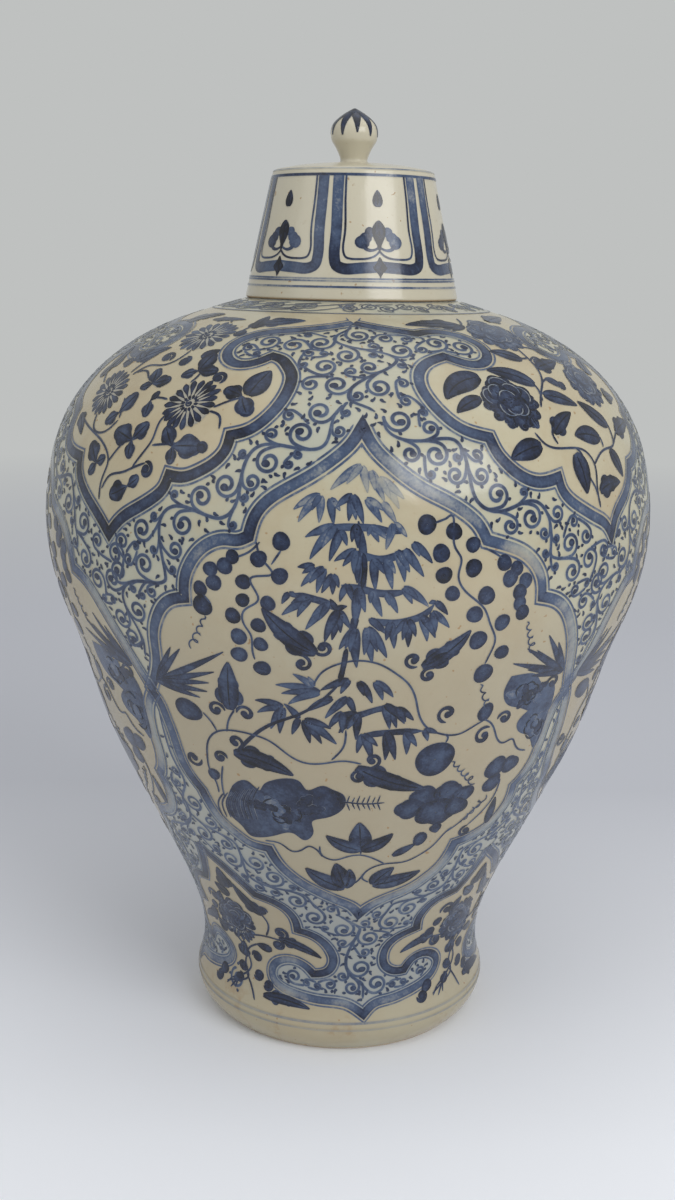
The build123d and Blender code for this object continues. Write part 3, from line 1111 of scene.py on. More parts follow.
garden = {
    "trunk": (((6.8, 291), (7.4, 284), (6.5, 276.5)), ((0.6, 249), (-0.4, 241), (-2, 232))),
    "bands": (  # the loaded brush drawn along a branch: line, how dark
        ((4.5, 304), (6, 296), (7, 288), (6.5, 278), (5, 268), 0.66),
        ((4.5, 266), (3, 258), (1.5, 251), 0.8),
        ((-15, 297.5), (-7, 300.5), (1, 301.5), (11, 301), (22, 299), 0.6),
        ((-3, 288.5), (5, 290), (13, 288.5), (26, 292.5), 0.6),
        ((-2, 277.5), (6, 276), (16, 274), (25.5, 275), 0.6),
        ((-23, 273), (-14.5, 271.5), (-6, 268.5), (-3, 266), 0.7),
        ((9.5, 263), (18.5, 261), (26, 262), (32, 264), (37, 269), 0.66),
        ((0, 212), (8, 214.5), (17, 217.5), (26, 216), 0.8),
        ((7, 203), (19, 204.5), (35, 204.5), 0.8),
    ),
    "sprays": (  # node, leaf tips, how dark
        ((5.5, 326.5), ((-7, 316.5), (-0.5, 319), (8, 315.5)), 0.4),
        ((9, 324.5), ((15, 312), (11, 316.5)), 0.34),
        ((12.5, 321.5), ((21, 309), (23, 313), (17.5, 313)), 0.28),
        ((-11, 314), ((-22, 308), (-20, 303), (-11.5, 303), (-14.5, 308)), 0.54),
        ((-7, 313), ((-5.5, 302.5), (-3, 308)), 0.56),
        ((2, 314.5), ((-5, 309), (0.5, 304), (3.5, 304.5), (6.5, 303)), 0.62),
        ((7.5, 313), ((14, 303.5), (10.5, 307), (15.5, 308)), 0.5),
        ((14, 311.5), ((20, 303), (18.5, 307)), 0.42),
        ((-4.5, 301.5), ((-17, 297), (-15, 288), (-10, 293)), 0.62),
        ((-2.5, 300), ((-7, 287.5), (-4.5, 291.5), (0, 294)), 0.7),
        ((3.5, 302.5), ((6, 296), (2, 295.5), (4.5, 293)), 0.85),
        ((9.5, 302), ((13, 295.5), (16.5, 296.5), (8.5, 298)), 0.58),
        ((19, 303), ((24.5, 297.5), (22.5, 301), (16, 292.5), (19, 298)), 0.48),
        ((4, 292), ((-5, 287.5), (-1.5, 285.5), (3, 282.5), (4.5, 278.5)), 0.72),
        ((11, 288.5), ((12, 275.5), (15.5, 282.5)), 0.66),
        ((16, 288.5), ((19, 276), (20, 282.5)), 0.62), ((20.5, 292), ((24, 279), (26, 283)), 0.6),
        ((23.5, 292.5), ((32, 281), (27, 285.5)), 0.6), ((27, 295), ((35.5, 286.5), (30, 289.5)), 0.66),
        ((-13, 285), ((-20, 284.5), (-18, 282)), 0.95),
        ((-9, 284.5), ((-18.5, 276.5), (-12, 274), (-15, 278)), 0.74),
        ((-5.5, 282), ((-5.5, 273.5), (-10, 274), (-3, 276.5)), 0.82),
        ((0.5, 278), ((-2.5, 270.5), (3, 270.5)), 0.68),
        ((5.5, 276.5), ((4, 259), (4.5, 268), (8, 266)), 0.72), ((10.5, 275), ((15, 264), (10, 270)), 0.66),
        ((16.5, 274.5), ((21.5, 265.5), (18, 269)), 0.64),
        ((23.5, 276.5), ((34.5, 268), (27.5, 269.5), (30, 271)), 0.62),
        ((-23.5, 273.5), ((-26.5, 268.5), (-20, 271.5)), 0.92),
        ((-14.5, 272), ((-26.5, 263.5), (-20, 263), (-22.5, 269)), 0.74),
        ((-7, 269.5), ((-16.5, 257.5), (-14, 263.5), (-11, 262)), 0.76),
        ((-3, 266.5), ((-8.5, 252), (-5.5, 253), (-2, 256.5), (2, 258.5)), 0.8),
        ((-4, 267), ((0.5, 268.5), (-6.5, 271.5)), 0.95), ((10, 263), ((17, 256), (14, 257.5)), 0.76),
        ((18.5, 261.5), ((20.5, 249), (17, 253)), 0.76),
        ((26, 262.5), ((20, 254.5), (26.5, 249.5), (24, 253), (29.5, 254.5)), 0.76),
        ((31.5, 264), ((34.5, 252), (38, 253.5)), 0.74),
        ((36, 265.5), ((44, 258), (40.5, 261), (38, 256)), 0.72),
        ((37.5, 270), ((43, 264), (34.5, 269.5)), 0.85),
        ((4, 258.5), ((-2.5, 248.5), (0, 249), (5, 239.5), (2, 247.5)), 0.74),
        ((9, 259), ((11.5, 242), (17.5, 244.5), (13.5, 247.5), (8, 246)), 0.7),
        ((2, 233), ((-10, 227), (-1.5, 225.5)), 0.82),
        ((6, 232), ((12, 220.5), (8.5, 224.5)), 0.88),
        ((13, 232), ((21, 223.5), (16.5, 222), (17.5, 228)), 0.76),
        ((-10.5, 225.5), ((-29.5, 228.5), (-27, 224), (-24, 218.5)), 0.74),
        ((-13, 229), ((-22, 235), (-15.5, 234)), 0.6),
        ((-5, 223), ((-16.5, 215), (-10.5, 221)), 0.84),
        ((1.5, 223.5), ((-8, 212), (-3.5, 216.5), (5, 214.5)), 0.84),
        ((-17, 210.5), ((-14.5, 198.5), (-9.5, 198.5), (-3, 198.5), (-5.5, 206.5)), 0.88),
        ((-19.5, 211), ((-22.5, 202.5), (-26, 218.5)), 0.88),
        ((6, 214.5), ((-5, 211.5), (-2, 204.5), (5.5, 201), (1.5, 206.5)), 0.88),
        ((17.5, 219.5), ((23, 207), (20, 206.5), (26.5, 209)), 0.88),
        ((23, 217.5), ((30.5, 210.5), (27, 210)), 0.92),
        ((-26.5, 216.5), ((-39, 219), (-38, 212.5), (-32, 204.5), (-28, 202.5)), 0.84),
        ((8.5, 204), ((6, 194), (12.5, 190), (15, 197.5)), 0.86),
        ((19, 205), ((18.5, 190), (23, 190)), 0.86),
        ((27.5, 204.5), ((28, 192.5), (32.5, 196.5)), 0.84), ((35.5, 205), ((42, 202.5), (37.5, 199)), 0.8),
        ((-0.5, 215.5), ((-6.5, 206.5), (-0.5, 204.5)), 0.86),
    ),
    "branch": ((-48, 190), (-40, 200), (-30, 208), (-20, 213), (-10, 221), (-2, 231)),
    "feather": (0, 165),
    "grapes": (
        (-27, 294.7, 7.5), (-36.5, 287, 7), (-27.5, 280.3, 7), (-43.2, 276.8, 6.5), (-32.5, 268.2, 6.5),
        (-43.5, 268.8, 6), (-48, 261.3, 7), (-36.7, 257.9, 6.5), (-45.5, 251.7, 7.5), (-35.8, 248.9, 6.5),
        (-45.5, 242.8, 7.5), (-35.3, 236.7, 7.5), (-48, 287, 6), (-51.5, 282.8, 7), (-58, 281, 6.5),
        (-56.5, 275.2, 7), (-63, 272, 6.5), (-62, 264.5, 9), (32.8, 302.5, 8), (44.5, 299.3, 7),
        (53.2, 293.5, 6.5), (39.2, 290.5, 7.5), (53.8, 283.7, 7.5), (40.7, 281.3, 7), (44.7, 273.2, 6.5),
        (60.3, 271.3, 8), (55.3, 263.2, 7.5), (68.8, 258.3, 7.5), (57.7, 250.8, 8.5), (70, 243.3, 7),
        (61.7, 233, 9.5), (68.2, 285, 7), (74.5, 282, 6.5), (71.5, 278, 7.5), (79.3, 276.2, 7),
        (76.7, 271.5, 7), (77, 266.5, 6.5), (78.8, 262, 7),
    ),
    "vines": (
        ((-37.5, 294), (-35, 287), (-30.5, 281), (-40, 278.5), (-36.5, 270), (-43, 264), (-43, 258),
         (-40, 253), (-39.5, 246), (-38.5, 241)),
        ((-27, 291), (-31, 285)), ((-46, 287), (-40, 290), (-36, 294)), ((-58, 266), (-62, 270)),
        ((40, 304), (43, 306), (45, 293), (48, 288), (47, 281), (49.5, 275), (55, 270), (60, 265),
         (63, 258), (66, 250), (64, 243), (62, 238)),
        ((36, 303), (42, 305)), ((58, 292), (64, 289), (67, 287)),
        ((-13, 230), (-10, 236), (-3, 241), (5, 243), (15, 241), (22, 236), (27, 231), (31, 222),
         (33, 213), (37, 206), (44, 202), (52, 201), (60, 204.5), (65, 207)),
        ((65, 207), (68, 205), (71, 200), (73, 195), (77, 192), (82, 193), (84, 190), (87, 186),
         (92, 184)),
        ((-59, 163), (-60, 169), (-63, 176), (-64, 185), (-63, 193), (-58, 199), (-50, 201), (-42, 200.5),
         (-33, 198), (-25, 192), (-18, 188), (-8, 188), (0, 189.5), (8, 188)),
        ((-5, 190), (0, 197), (1, 206)), ((-56, 180), (-57, 170), (-56, 160)),
        ((-49, 212), (-52, 206), (-53, 200)), ((-65, 208), (-61, 204), (-58, 199)),
        ((46, 197), (47, 200), (45, 202)),
        ((2, 108), (7, 111), (12, 119), (20, 123.5), (30, 124), (38, 128), (44, 133), (50, 141),
         (53, 144)),
        ((20, 124), (14, 128.5), (9, 130.5), (2, 129), (-3, 127), (-9, 130), (-10, 136)),
        ((-36, 136), (-28, 135), (-23, 131), (-18, 133), (-15, 135.5), (-11, 133), (-9, 129)),
        ((70, 158), (64, 153), (58, 147), (50, 141)), ((9, 136), (9, 131)), ((-2, 109), (2, 108)),
        ((13, 111), (10, 114), (12, 119)), ((78, 170), (76, 160), (71, 152), (62, 143)),
    ),
    "springs": (  # tendrils that coil along a line: from, to, width of the coil, how many turns
        ((-61, 260), (-68, 244), 4, 4), ((82, 257), (87, 242), 4, 4), ((61, 227), (66, 214), 3.6, 3),
        ((50, 186), (62, 172), 4, 5), ((58, 146), (70, 160), 3.4, 4),
    ),
    "leaves": (
        ((-12, 246), (-35, 266), 11.5, 0.1, 3), ((-14, 246), (-25, 251), 7, 0, 0),
        ((33, 239), (54, 256), 10, -0.1, 3), ((36, 240), (46, 246), 6, 0, 0),
        ((-51, 212), (-51, 238), 12, 0.03, 3), ((-50, 189), (-22, 180), 11, 0.12, 3),
        ((6, 186), (38, 172), 11, -0.1, 3), ((74, 141), (77, 158), 5, 0, 0),
        ((9, 134), (8, 152.5), 10.5, 0, 0), ((9, 134), (-7, 143.5), 7.5, 0.16, 0),
        ((9, 134), (23.5, 144.5), 7.5, -0.16, 0), ((2, 107), (-16.5, 120), 9.5, 0.14, 0),
        ((2, 107), (-2.5, 124.5), 9.5, 0, 0), ((2, 107), (4, 120.5), 7, -0.1, 0),
        ((15, 109), (38.5, 116), 9, -0.12, 0), ((15, 109), (25, 120.5), 8.5, 0.1, 0),
        ((24, 129), (35, 136), 4.5, 0, 0), ((44, 148), (45, 142), 6, 0, 0),
    ),
    "grass": (  # root, leaf tips, width
        ((-90, 220), (
            (-53, 243), (-80, 241), (-75, 241), (-58, 231.5), (-61, 225), (-62, 220), (-66, 216),
        ), 3.4),
        ((110, 225), (
            (96, 248), (90, 241), (77, 236), (86, 231), (89, 227), (103, 243), (84, 243),
        ), 3.4),
    ),
    "blobs": (  # spot, radius, stretch, angle, lobes
        ((-73, 208), 5.3, 1.45, -12, 0), ((41.5, 188.5), 8.6, 1.12, 20, 0), ((74, 178), 5.6, 1.1, 60, 3),
        ((83, 178), 4.8, 1.1, 10, 3), ((73, 168.5), 4.6, 1.2, 80, 3), ((38, 167), 6.2, 1.15, 0, 4),
        ((49, 168), 6.4, 1.1, 0, 4), ((57, 165), 5.2, 1.1, 20, 3), ((31, 160), 6, 1.2, 0, 4),
        ((44, 156), 8.4, 1.2, 0, 5), ((54, 158), 5.6, 1.1, 0, 3), ((37, 139), 3.4, 1.3, 80, 0),
        ((65, 211), 3.6, 1.4, 80, 0), ((-61, 174), 3.2, 1, 0, 0),
    ),
    "curls": (
        ((-9, 249), 4.2, 200, 1), ((-18, 240.5), 4.2, 90, -1), ((29, 243), 4.2, 300, -1),
        ((36, 234.5), 4, 60, 1), ((-58, 211), 4.4, 0, 1), ((-43.5, 211), 4.4, 180, -1),
        ((-49, 195), 4.2, 270, 1), ((-57, 185), 3.6, 0, 1), ((13, 190), 4, 260, 1),
        ((7, 180.5), 3.6, 90, 1), ((46, 213), 5, 270, -1), ((65, 198), 5, 60, 1), ((76, 206), 4, 180, -1),
        ((-72, 181), 4.6, 0, -1), ((61, 139), 3.8, 90, 1), ((104, 220), 4.6, 200, -1),
    ),
}
rocks = (  # spot, outline, tone
    ((-27, 158), (
        (-51.5, 169), (-47.5, 173), (-43.5, 173.5), (-38.2, 168.6), (-36, 172.5), (-32.5, 175.5),
        (-24.5, 178), (-19, 176.5), (-16, 172), (-9, 175), (-4.5, 173), (0, 170.5), (1.5, 165),
        (-2, 158.5), (-8, 155), (-13.5, 152.5), (-13, 145.5), (-17.5, 139.5), (-22.5, 143.5),
        (-28.5, 142), (-37, 138), (-44, 138), (-47.5, 143), (-53.5, 149), (-55, 158),
    ), 0.74),
    ((89, 217), (
        (77, 229), (85, 229), (92, 227), (97, 221), (104, 220), (107, 212), (105, 205), (92, 206),
        (84, 210), (77, 213), (74, 221),
    ), 0.6),
    ((95, 198), (
        (90, 207), (105, 207), (104, 199), (102, 191), (98, 184), (93, 192), (86, 196), (84, 201),
    ), 0.62),
)
hatching = {  # on the left rock's flank; a point's place across, its height, and its rise for each line
    "count": 9, "first": -58, "apart": 2.3, "line": ((0, 147, 0.3), (-2, 155, 0.8), (1.5, 163, 1)),
}


def spring(paint, start, end, broad, turns):
    t = np.linspace(0, 1, turns * 9)
    along = np.array(end, float) - np.array(start, float)
    way = along / np.hypot(*along)
    side = np.array([-way[1], way[0]])
    points = np.array(start) + along * t[:, None]
    points = points + side * (broad / 2 * np.sin(t * turns * 6.28))[:, None] * (0.4 + 0.6 * t[:, None])
    points = points + way * (broad * 0.45 * np.cos(t * turns * 6.28))[:, None] * t[:, None]
    stroke(paint, points, 0.5, 0.7, 3, (0.5, 0.5), 0.6)


def bambooSpray(shapes, node, tips, tone):
    for tip in tips:
        reach = math.dist(node, tip)
        droop = 0.13 * (tip[0] - node[0]) / reach + hand.uniform(-0.05, 0.05)
        leaf(shapes, node, tip, 1.8 + reach * 0.15, droop, tone * hand.uniform(0.84, 1.14), 2, 0, 0.3, 0.05)


def paintRocks(shapes, lines):
    for spot, outline, tone in rocks:
        filledOutline(shapes, spot, outline, tone, 1)
    for n in range(hatching["count"]):
        x = hatching["first"] + hatching["apart"] * n
        stroke(lines, [(x + across, s + rise * n) for across, s, rise in hatching["line"]], 0.7, 0.75)
    for spot, outline, tone in rocks:
        size = max(abs(x - spot[0]) for x, s in outline)
        for n in range(int(size / 2.2)):
            angle = hand.uniform(0, 360)
            there = polar(spot, angle, size * hand.uniform(0.1, 0.6))
            there = (there[0], spot[1] + (there[1] - spot[1]) * 0.5)
            load = (0.44, 0.82, 0.92)[n % 3]
            blob(shapes, there, hand.uniform(1.6, 3.4), 1.8, angle, load, 2 + n % 2, 5, 0.25, 0.9)
        for n in range(6):
            angle = 60 * n + hand.uniform(-15, 15)
            reach = hand.uniform(3, 9)
            crag = [polar(spot, angle + turn, reach * far) for turn, far in ((0, 1), (30, 1.15), (55, 1))]
            stroke(lines, crag, 0.7, 1.05, 5)


def paintBamboo(shapes, lines):
    stroke(lines, garden["branch"], [1.8, 1.3, 1.0], 0.9, 3)
    for *band, tone in garden["bands"]:
        stroke(shapes, band, [1.4, 3.2, 2.8, 3.2, 1.4], tone, 1, (3, 3))
    for node, tips, tone in garden["sprays"]:
        bambooSpray(shapes, node, tips, tone)
    for trunk in garden["trunk"]:
        stroke(shapes, trunk, [1.8, 2.2, 2.0, 2.6], 1.0, 4)


def feather(paint, x, s):  # a small sprig of paired strokes
    for n in range(7):
        at = x + 2 + n * 2.3
        stroke(paint, [(at, s), (at + 1.2, s + 4.5 - n % 2)], 0.5, 0.8)
        stroke(paint, [(at, s), (at + 1.4, s - 4.5 + n % 2)], 0.5, 0.8)
    stroke(paint, [(x, s + 1), (x + 9, s - 0.4), (x + 19, s)], 0.6, 0.85)


def paintGarden(k):
    shapes, lines = newPaint(jarSkin, 90 * k), newPaint(jarSkin, 90 * k)
    paintRocks(shapes, lines)
    paintBamboo(shapes, lines)
    for x, s, size in garden["grapes"]:
        blob(shapes, (x, s), size / 2, tone=hand.uniform(0.7, 1.0), level=3, inner=0.8)
    vines(lines, garden["vines"], 0.75, 0.64)
    for row in garden["springs"]:
        spring(lines, *row)
    leaves(shapes, garden["leaves"])
    for origin, tips, width in garden["grass"]:
        for tip in tips:
            leaf(shapes, origin, tip, width, hand.uniform(-0.06, 0.06), 0.85, 2, 0, 0.35)
    for spot, radius, stretch, angle, lobes in garden["blobs"]:
        blob(shapes, spot, radius, stretch, angle, 0.82, 2, lobes, 0.14, 0.72)
    curls(lines, garden["curls"], 0.85)
    feather(lines, *garden["feather"])
    finishPaint(shapes, f"garden_shapes_{k + 1}", "jar")
    finishPaint(lines, f"garden_lines_{k + 1}", "jar")


# Chrysanthemums in two of the collars, peonies in the others

chrysanthemums = {
    "flowers": ((31, 351, 13.2, 0.95), (5, 395, 13.5, 0.75), (-27, 352, 13.2, 0.85)),
    "vines": (
        ((-5, 303), (-5, 312), (-3, 320), (-8, 326), (-20, 331), (-34, 335), (-42, 338)),
        ((-4, 308), (0, 314), (8, 316.5), (15, 319.5), (21, 322)), ((-3, 320), (2, 327), (7, 333)),
        ((14, 319.5), (18, 326), (21, 333), (21, 342), (24, 346)), ((22, 330), (28, 331), (36, 332)),
        ((-26, 340), (-24, 334), (-12, 333), (-6, 339)), ((-6, 340), (-8, 347), (-10, 350)),
        ((18, 352), (13, 352.5), (9, 352)), ((44, 350), (50, 354), (55, 356)),
        ((43, 348), (49, 346), (52, 340)), ((24, 362), (25, 368), (23, 372)),
        ((-17, 363), (-10, 369.5), (0, 371), (5, 375), (7, 382)), ((-17, 364), (-8, 366), (-3, 362)),
        ((20, 398), (21, 405), (25, 411)), ((6, 409), (2, 413), (-8, 412)),
        ((-12, 378), (-17, 370), (-20, 364)), ((-40, 356), (-47, 362), (-50, 368)),
    ),
    "leaves": (
        ((56, 357), (57, 371.5), 11.5, 0.04, 0), ((-24, 371), (-8, 383), 8, 0.08, 2),
        ((-46, 364), (-46, 380), 10, 0, 2), ((-52, 358), (-46, 368), 8, 0, 0),
        ((-44, 338), (-34, 329), 7, 0.1, 2), ((-30, 407), (-9, 418), 10, 0.1, 3),
        ((-9, 411), (11, 413), 5, 0.06, 2), ((24, 404), (20, 418), 7.5, 0.05, 2),
        ((24, 410), (41, 414), 9.5, 0.08, 2), ((17, 378), (23, 384), 6, 0, 0),
    ),
    "sprigs": (
        ((53.5, 356.5), ((44, 360), (61, 347.5))), ((33, 330.5), ((26, 338.5), (34.5, 323), (47, 331.5))),
        ((9, 331), ((-4, 334.5), (15, 339.5), (10, 323))),
        ((-12, 318.5), ((-20, 327), (-6, 321.5), (-16.5, 313))), ((13, 311), ((2.5, 306), (19, 315.5))),
        ((2.5, 359.5), ((-3.5, 356.5), (-1.5, 368), (11.5, 363))),
        ((23, 369), ((16, 365.5), (22.5, 381), (32.5, 370))), ((-8, 342.5), ((-15, 337), (-2.5, 353))),
        ((8.5, 350.5), ((10.5, 355.5), (10.5, 342.5))), ((-22, 371), ((-28, 377), (-20, 380))),
    ),
    "curls": (
        ((36, 366), 3.8, 300, 1), ((-3, 376), 4, 330, 1), ((10, 374.5), 3.4, 100, -1),
        ((22.5, 319), 3.8, 110, -1), ((-31, 369), 4, 200, -1), ((48, 331), 2.6, 180, -1),
        ((21, 399), 3, 200, 1),
    ),
}
peonies = {
    "flowers": ((-28, 355, 12.6, 0.94), (1, 401, 13, 0.66), (32, 362, 12.2, 0.74)),
    "vines": (
        ((8, 303), (7, 312), (8, 322), (4, 328), (-4, 330.5), (-13, 331), (-20, 333), (-24, 339)),
        ((8, 322), (14, 326), (22, 328), (29, 329), (31, 336), (30, 342)),
        ((8, 304), (5, 313), (1, 320), (0, 328), (-3, 330.5)), ((29, 329), (35, 333), (40, 336)),
        ((-13, 351), (-8, 358), (-2, 364), (2, 371), (3, 380), (3, 388)),
        ((-2, 364), (6, 366), (10, 362)), ((-8, 358), (0, 357), (4, 355)),
        ((3, 378), (9, 380), (12, 376)), ((3, 380), (-2, 380), (-5, 382)),
        ((-10, 354), (-8, 361), (-9, 366)), ((-13, 333), (-14, 338), (-12, 341)),
        ((19, 329), (18, 334), (14, 336)), ((22, 352), (26, 351), (30, 352)), ((30, 342), (26, 346)),
        ((3, 388), (12, 387), (17, 384)), ((-14, 408), (-9, 412), (-6, 418)),
    ),
    "leaves": (
        ((-35, 369), (-58, 357), 11.5, -0.2, 0), ((-42, 357), (-57, 350), 6.5, -0.12, 0),
        ((-23, 333), (-41, 328), 9.5, -0.1, 0), ((-8, 363), (-28, 373), 9, -0.18, 0),
        ((-2, 379), (-16, 386), 7.5, -0.1, 0), ((3, 373), (22, 376), 9, 0.05, 3),
        ((-7, 357), (12, 350), 7.5, 0.12, 0), ((-13, 338), (4, 347), 8.5, 0.1, 2),
        ((18, 333), (0, 336), 9, -0.14, 0), ((30, 338), (14, 352), 8, 0.02, 0),
        ((-4, 328), (-1, 310), 10.5, 0.1, 0), ((9, 310), (28, 312), 9, 0.15, 3),
        ((24, 327), (32, 314), 7, 0.1, 0), ((37, 334), (58, 337), 9.5, 0.12, 3),
        ((2, 366), (11, 359), 4, 0.1, 0), ((-12, 410), (-39, 411), 10, -0.16, 3),
        ((-10, 410), (-20, 405), 4.5, 0, 0), ((12, 414), (34, 417), 9, 0.1, 2),
        ((46, 366), (56, 376), 9, 0, 2), ((46, 352), (58, 350), 8, 0.1, 2),
    ),
    "sprigs": (((-22, 347), ((-26, 342), (-21, 341))),),
    "curls": (((18, 383), 2.6, 180, -1), ((10, 361), 2.4, 0, 1)),
}


def paintCollar(k, plan, flower, turn):
    shapes, lines = newPaint(jarSkin, turn), newPaint(jarSkin, turn)
    for x, s, radius, tone in plan["flowers"]:
        flower(shapes, lines, (x, s), radius, tone)
    vines(lines, plan["vines"], 0.9, 0.76)
    leaves(shapes, plan["leaves"], 0.88)
    for node, tips in plan["sprigs"]:
        sprig(shapes, node, tips)
    curls(lines, plan["curls"], 1.0)
    finishPaint(shapes, f"collar_shapes_{k + 1}", "jar")
    finishPaint(lines, f"collar_lines_{k + 1}", "jar")


# Leafy stems between the foot's scrolled borders

footSpray = {  # measured from the middle meridian; the cream lies to both sides of it
    "vines": (
        ((-21, 63), (-32, 64), (-40, 64), (-48, 62), (-55, 60)),
        ((-44, 57), (-50, 50), (-48, 43), (-53, 36), (-62, 31)), ((-53, 36), (-57, 32), (-59, 27)),
        ((-51, 37), (-47.5, 31), (-45.5, 25)), ((-38, 65), (-37, 74), (-41, 80)), ((-62, 31), (-66, 27)),
        ((48, 63), (56, 62), (62, 63)), ((62, 57), (66, 50), (64, 43), (66, 36), (58, 31), (52, 28)),
        ((59, 32), (56, 26)),
    ),
    "leaves": (
        ((-31, 65), (-9, 56), 6.5, 0.12, 2), ((-61, 92), (-66, 106), 9.5, 0, 2),
        ((-40, 79), (-57, 97), 8, 0.12, 2), ((-40, 29), (-14.5, 27), 6.5, 0.12, 3),
        ((-35, 56), (-44, 57), 5, 0, 0), ((50, 64), (31, 57), 6, -0.14, 2),
        ((-60, 86), (-70, 92), 7, 0, 0), ((63, 47), (66, 56), 7, 0, 2), ((-66, 36), (-72, 30), 6, 0, 0),
        ((60, 76), (67, 86), 7, 0, 2),
    ),
    "curls": (
        ((-30, 69), 4, 300, 1), ((-31.5, 60.5), 3.4, 60, -1), ((-44, 49), 3.2, 180, -1),
        ((-43, 39), 3.2, 200, 1), ((-37, 35), 3, 200, 1), ((48, 66.5), 3.2, 250, -1),
        ((52, 59.5), 3.8, 120, 1), ((58, 80), 4.6, 200, -1), ((62, 41), 3, 0, -1),
        ((60, 33.5), 3, 90, -1), ((45, 29), 3.4, 180, 1), ((52, 72), 2.6, 0, 1), ((-40, 82), 3.2, 0, 1),
    ),
    "flowers": ((-58, 70, 11.5, 0.85), (67, 67, 11, 0.75)),
}


def paintFoot(k):
    shapes, lines = newPaint(jarSkin, 90 * k), newPaint(jarSkin, 90 * k)
    flower = chrysanthemum if k % 2 else peony
    for x, s, radius, tone in footSpray["flowers"]:
        flower(shapes, lines, (x, s), radius, tone)
    vines(lines, footSpray["vines"], 0.85, 0.72)
    leaves(shapes, footSpray["leaves"], 0.88)
    curls(lines, footSpray["curls"], 1.0)
    finishPaint(shapes, f"foot_shapes_{k + 1}", "jar")
    finishPaint(lines, f"foot_lines_{k + 1}", "jar")


# Scrolls. A stem waves along each strip of ground, curls branch off it, and smaller ones fill what is left.

scrollLook = {  # millimetres, and shares of the paint's tone
    "sizes": (5.8, 4.4, 3.3, 2.4), "line": 1.0, "stem": 1.15, "halo": 0.5, "tone": 0.56, "lowTone": 0.48,
    "border": 3.9, "gap": 0.2, "tries": 5600, "shuffle": 2.5,
    "dotBorder": 0.5, "dotStem": 1.5, "dotGap": 0.7, "dotApart": 3.0, "dotLength": 2.9, "dotWidth": 1.35,
    "wave": 47.0, "swing": 0.86, "leastSwing": 0.5, "endSwing": 0.25, "ease": 12, "stemBorder": 5.3,
    "stemStep": 0.6, "phases": (0.4, 2.2, 0.9, 0.3, 1.2, 3.4),
    "middle": 3.8, "heights": (27, 215, 418), "overlap": 6,
}
curlLook = {  # one curl of the scroll, by its size
    "inside": 0.3, "turns": (0.85, 0.08), "inner": 0.26, "width": (0.76, 0.06), "bulb": (0.55, 0.17),
    "stemReach": 5, "back": 5.5, "tail": 1.2, "curlReach": 4, "lean": 1.2, "rootAt": 0.85,
    "thorn": 1.9, "thornAt": (1.1, 1.9), "thornLean": 0.9, "twoThorns": 3,
}
stripMiddles = (  # from the middle meridian
    ((0, 410), (0, 398), (1, 385), (3, 372), (6, 360), (11, 351)),
    ((0, 352), (-14, 343), (-24, 335), (-43, 320), (-58, 308), (-70, 301), (-86, 286), (-98, 268),
     (-99, 250), (-96, 233)),
    ((20, 351), (30, 338), (40, 330), (54, 320), (71, 307), (90, 298), (104, 285)),
    ((-91, 203), (-86, 178), (-78, 152), (-68, 136), (-55, 122), (-40, 111), (-26, 100), (-12, 90)),
    ((104, 166), (92, 145), (78, 130), (66, 121), (50, 104), (36, 93), (20, 83)),
    ((-2, 86), (5, 70), (8, 58), (9, 46), (12, 33)),
)
allBorders = np.vstack([path[::2] for path in panelPaths + upperPaths + lowerPaths])


def borderGap(spots):  # millimetres from each sheet place to the middle of the nearest border
    near = np.full(len(spots), 1e9)
    low, high = spots[:, 0].min() - 40, spots[:, 0].max() + 40
    for shift in (-roundSheet, 0, roundSheet):
        line = allBorders + (shift, 0)
        line = line[(line[:, 0] > low) & (line[:, 0] < high)]
        if not len(line):
            continue
        for part in np.array_split(np.arange(len(spots)), 12):
            apart = np.hypot(spots[part, :1] - line[:, 0], spots[part, 1:] - line[:, 1])
            near[part] = np.minimum(near[part], apart.min(1, initial=1e9))
    return near / perMm(jarSkin, spots[:, 1])


def wavedStem(points, turn, phase):
    look = scrollLook
    line = smoothLine(toSheet(jarSkin, points, turn), 0.8)
    scale = perMm(jarSkin, line[:, 1])
    along = np.concatenate([[0], np.cumsum(np.hypot(*np.diff(line, axis=0).T) / scale[1:])])
    swing = np.maximum(borderGap(line) - look["stemBorder"], look["leastSwing"]) * look["swing"]
    ease = np.minimum(1, (along[-1] - along) / look["ease"] + look["endSwing"])
    swing = swing * ease * np.sin(along / look["wave"] * 2 * math.pi + phase)
    beside = rightOf(unit(np.gradient(line, axis=0)))
    return resample(line + beside * (swing * scale)[:, None], look["stemStep"])


stems = []
for k in range(4):
    for points, phase in zip(stripMiddles, scrollLook["phases"]):
        stems.append(wavedStem(points, 90 * k, phase))
stemPoints = np.vstack(stems)
stemWays = np.vstack([unit(np.gradient(line, axis=0)) for line in stems])
stemOrder = np.concatenate([np.arange(len(line)) for line in stems])


def shortWay(across):  # the short way round the sheet
    return (across + roundSheet / 2) % roundSheet - roundSheet / 2


def nearestStem(u, v):
    apart = np.hypot(shortWay(stemPoints[:, 0] - u), stemPoints[:, 1] - v)
    best = int(apart.argmin())
    return best, float(apart[best])


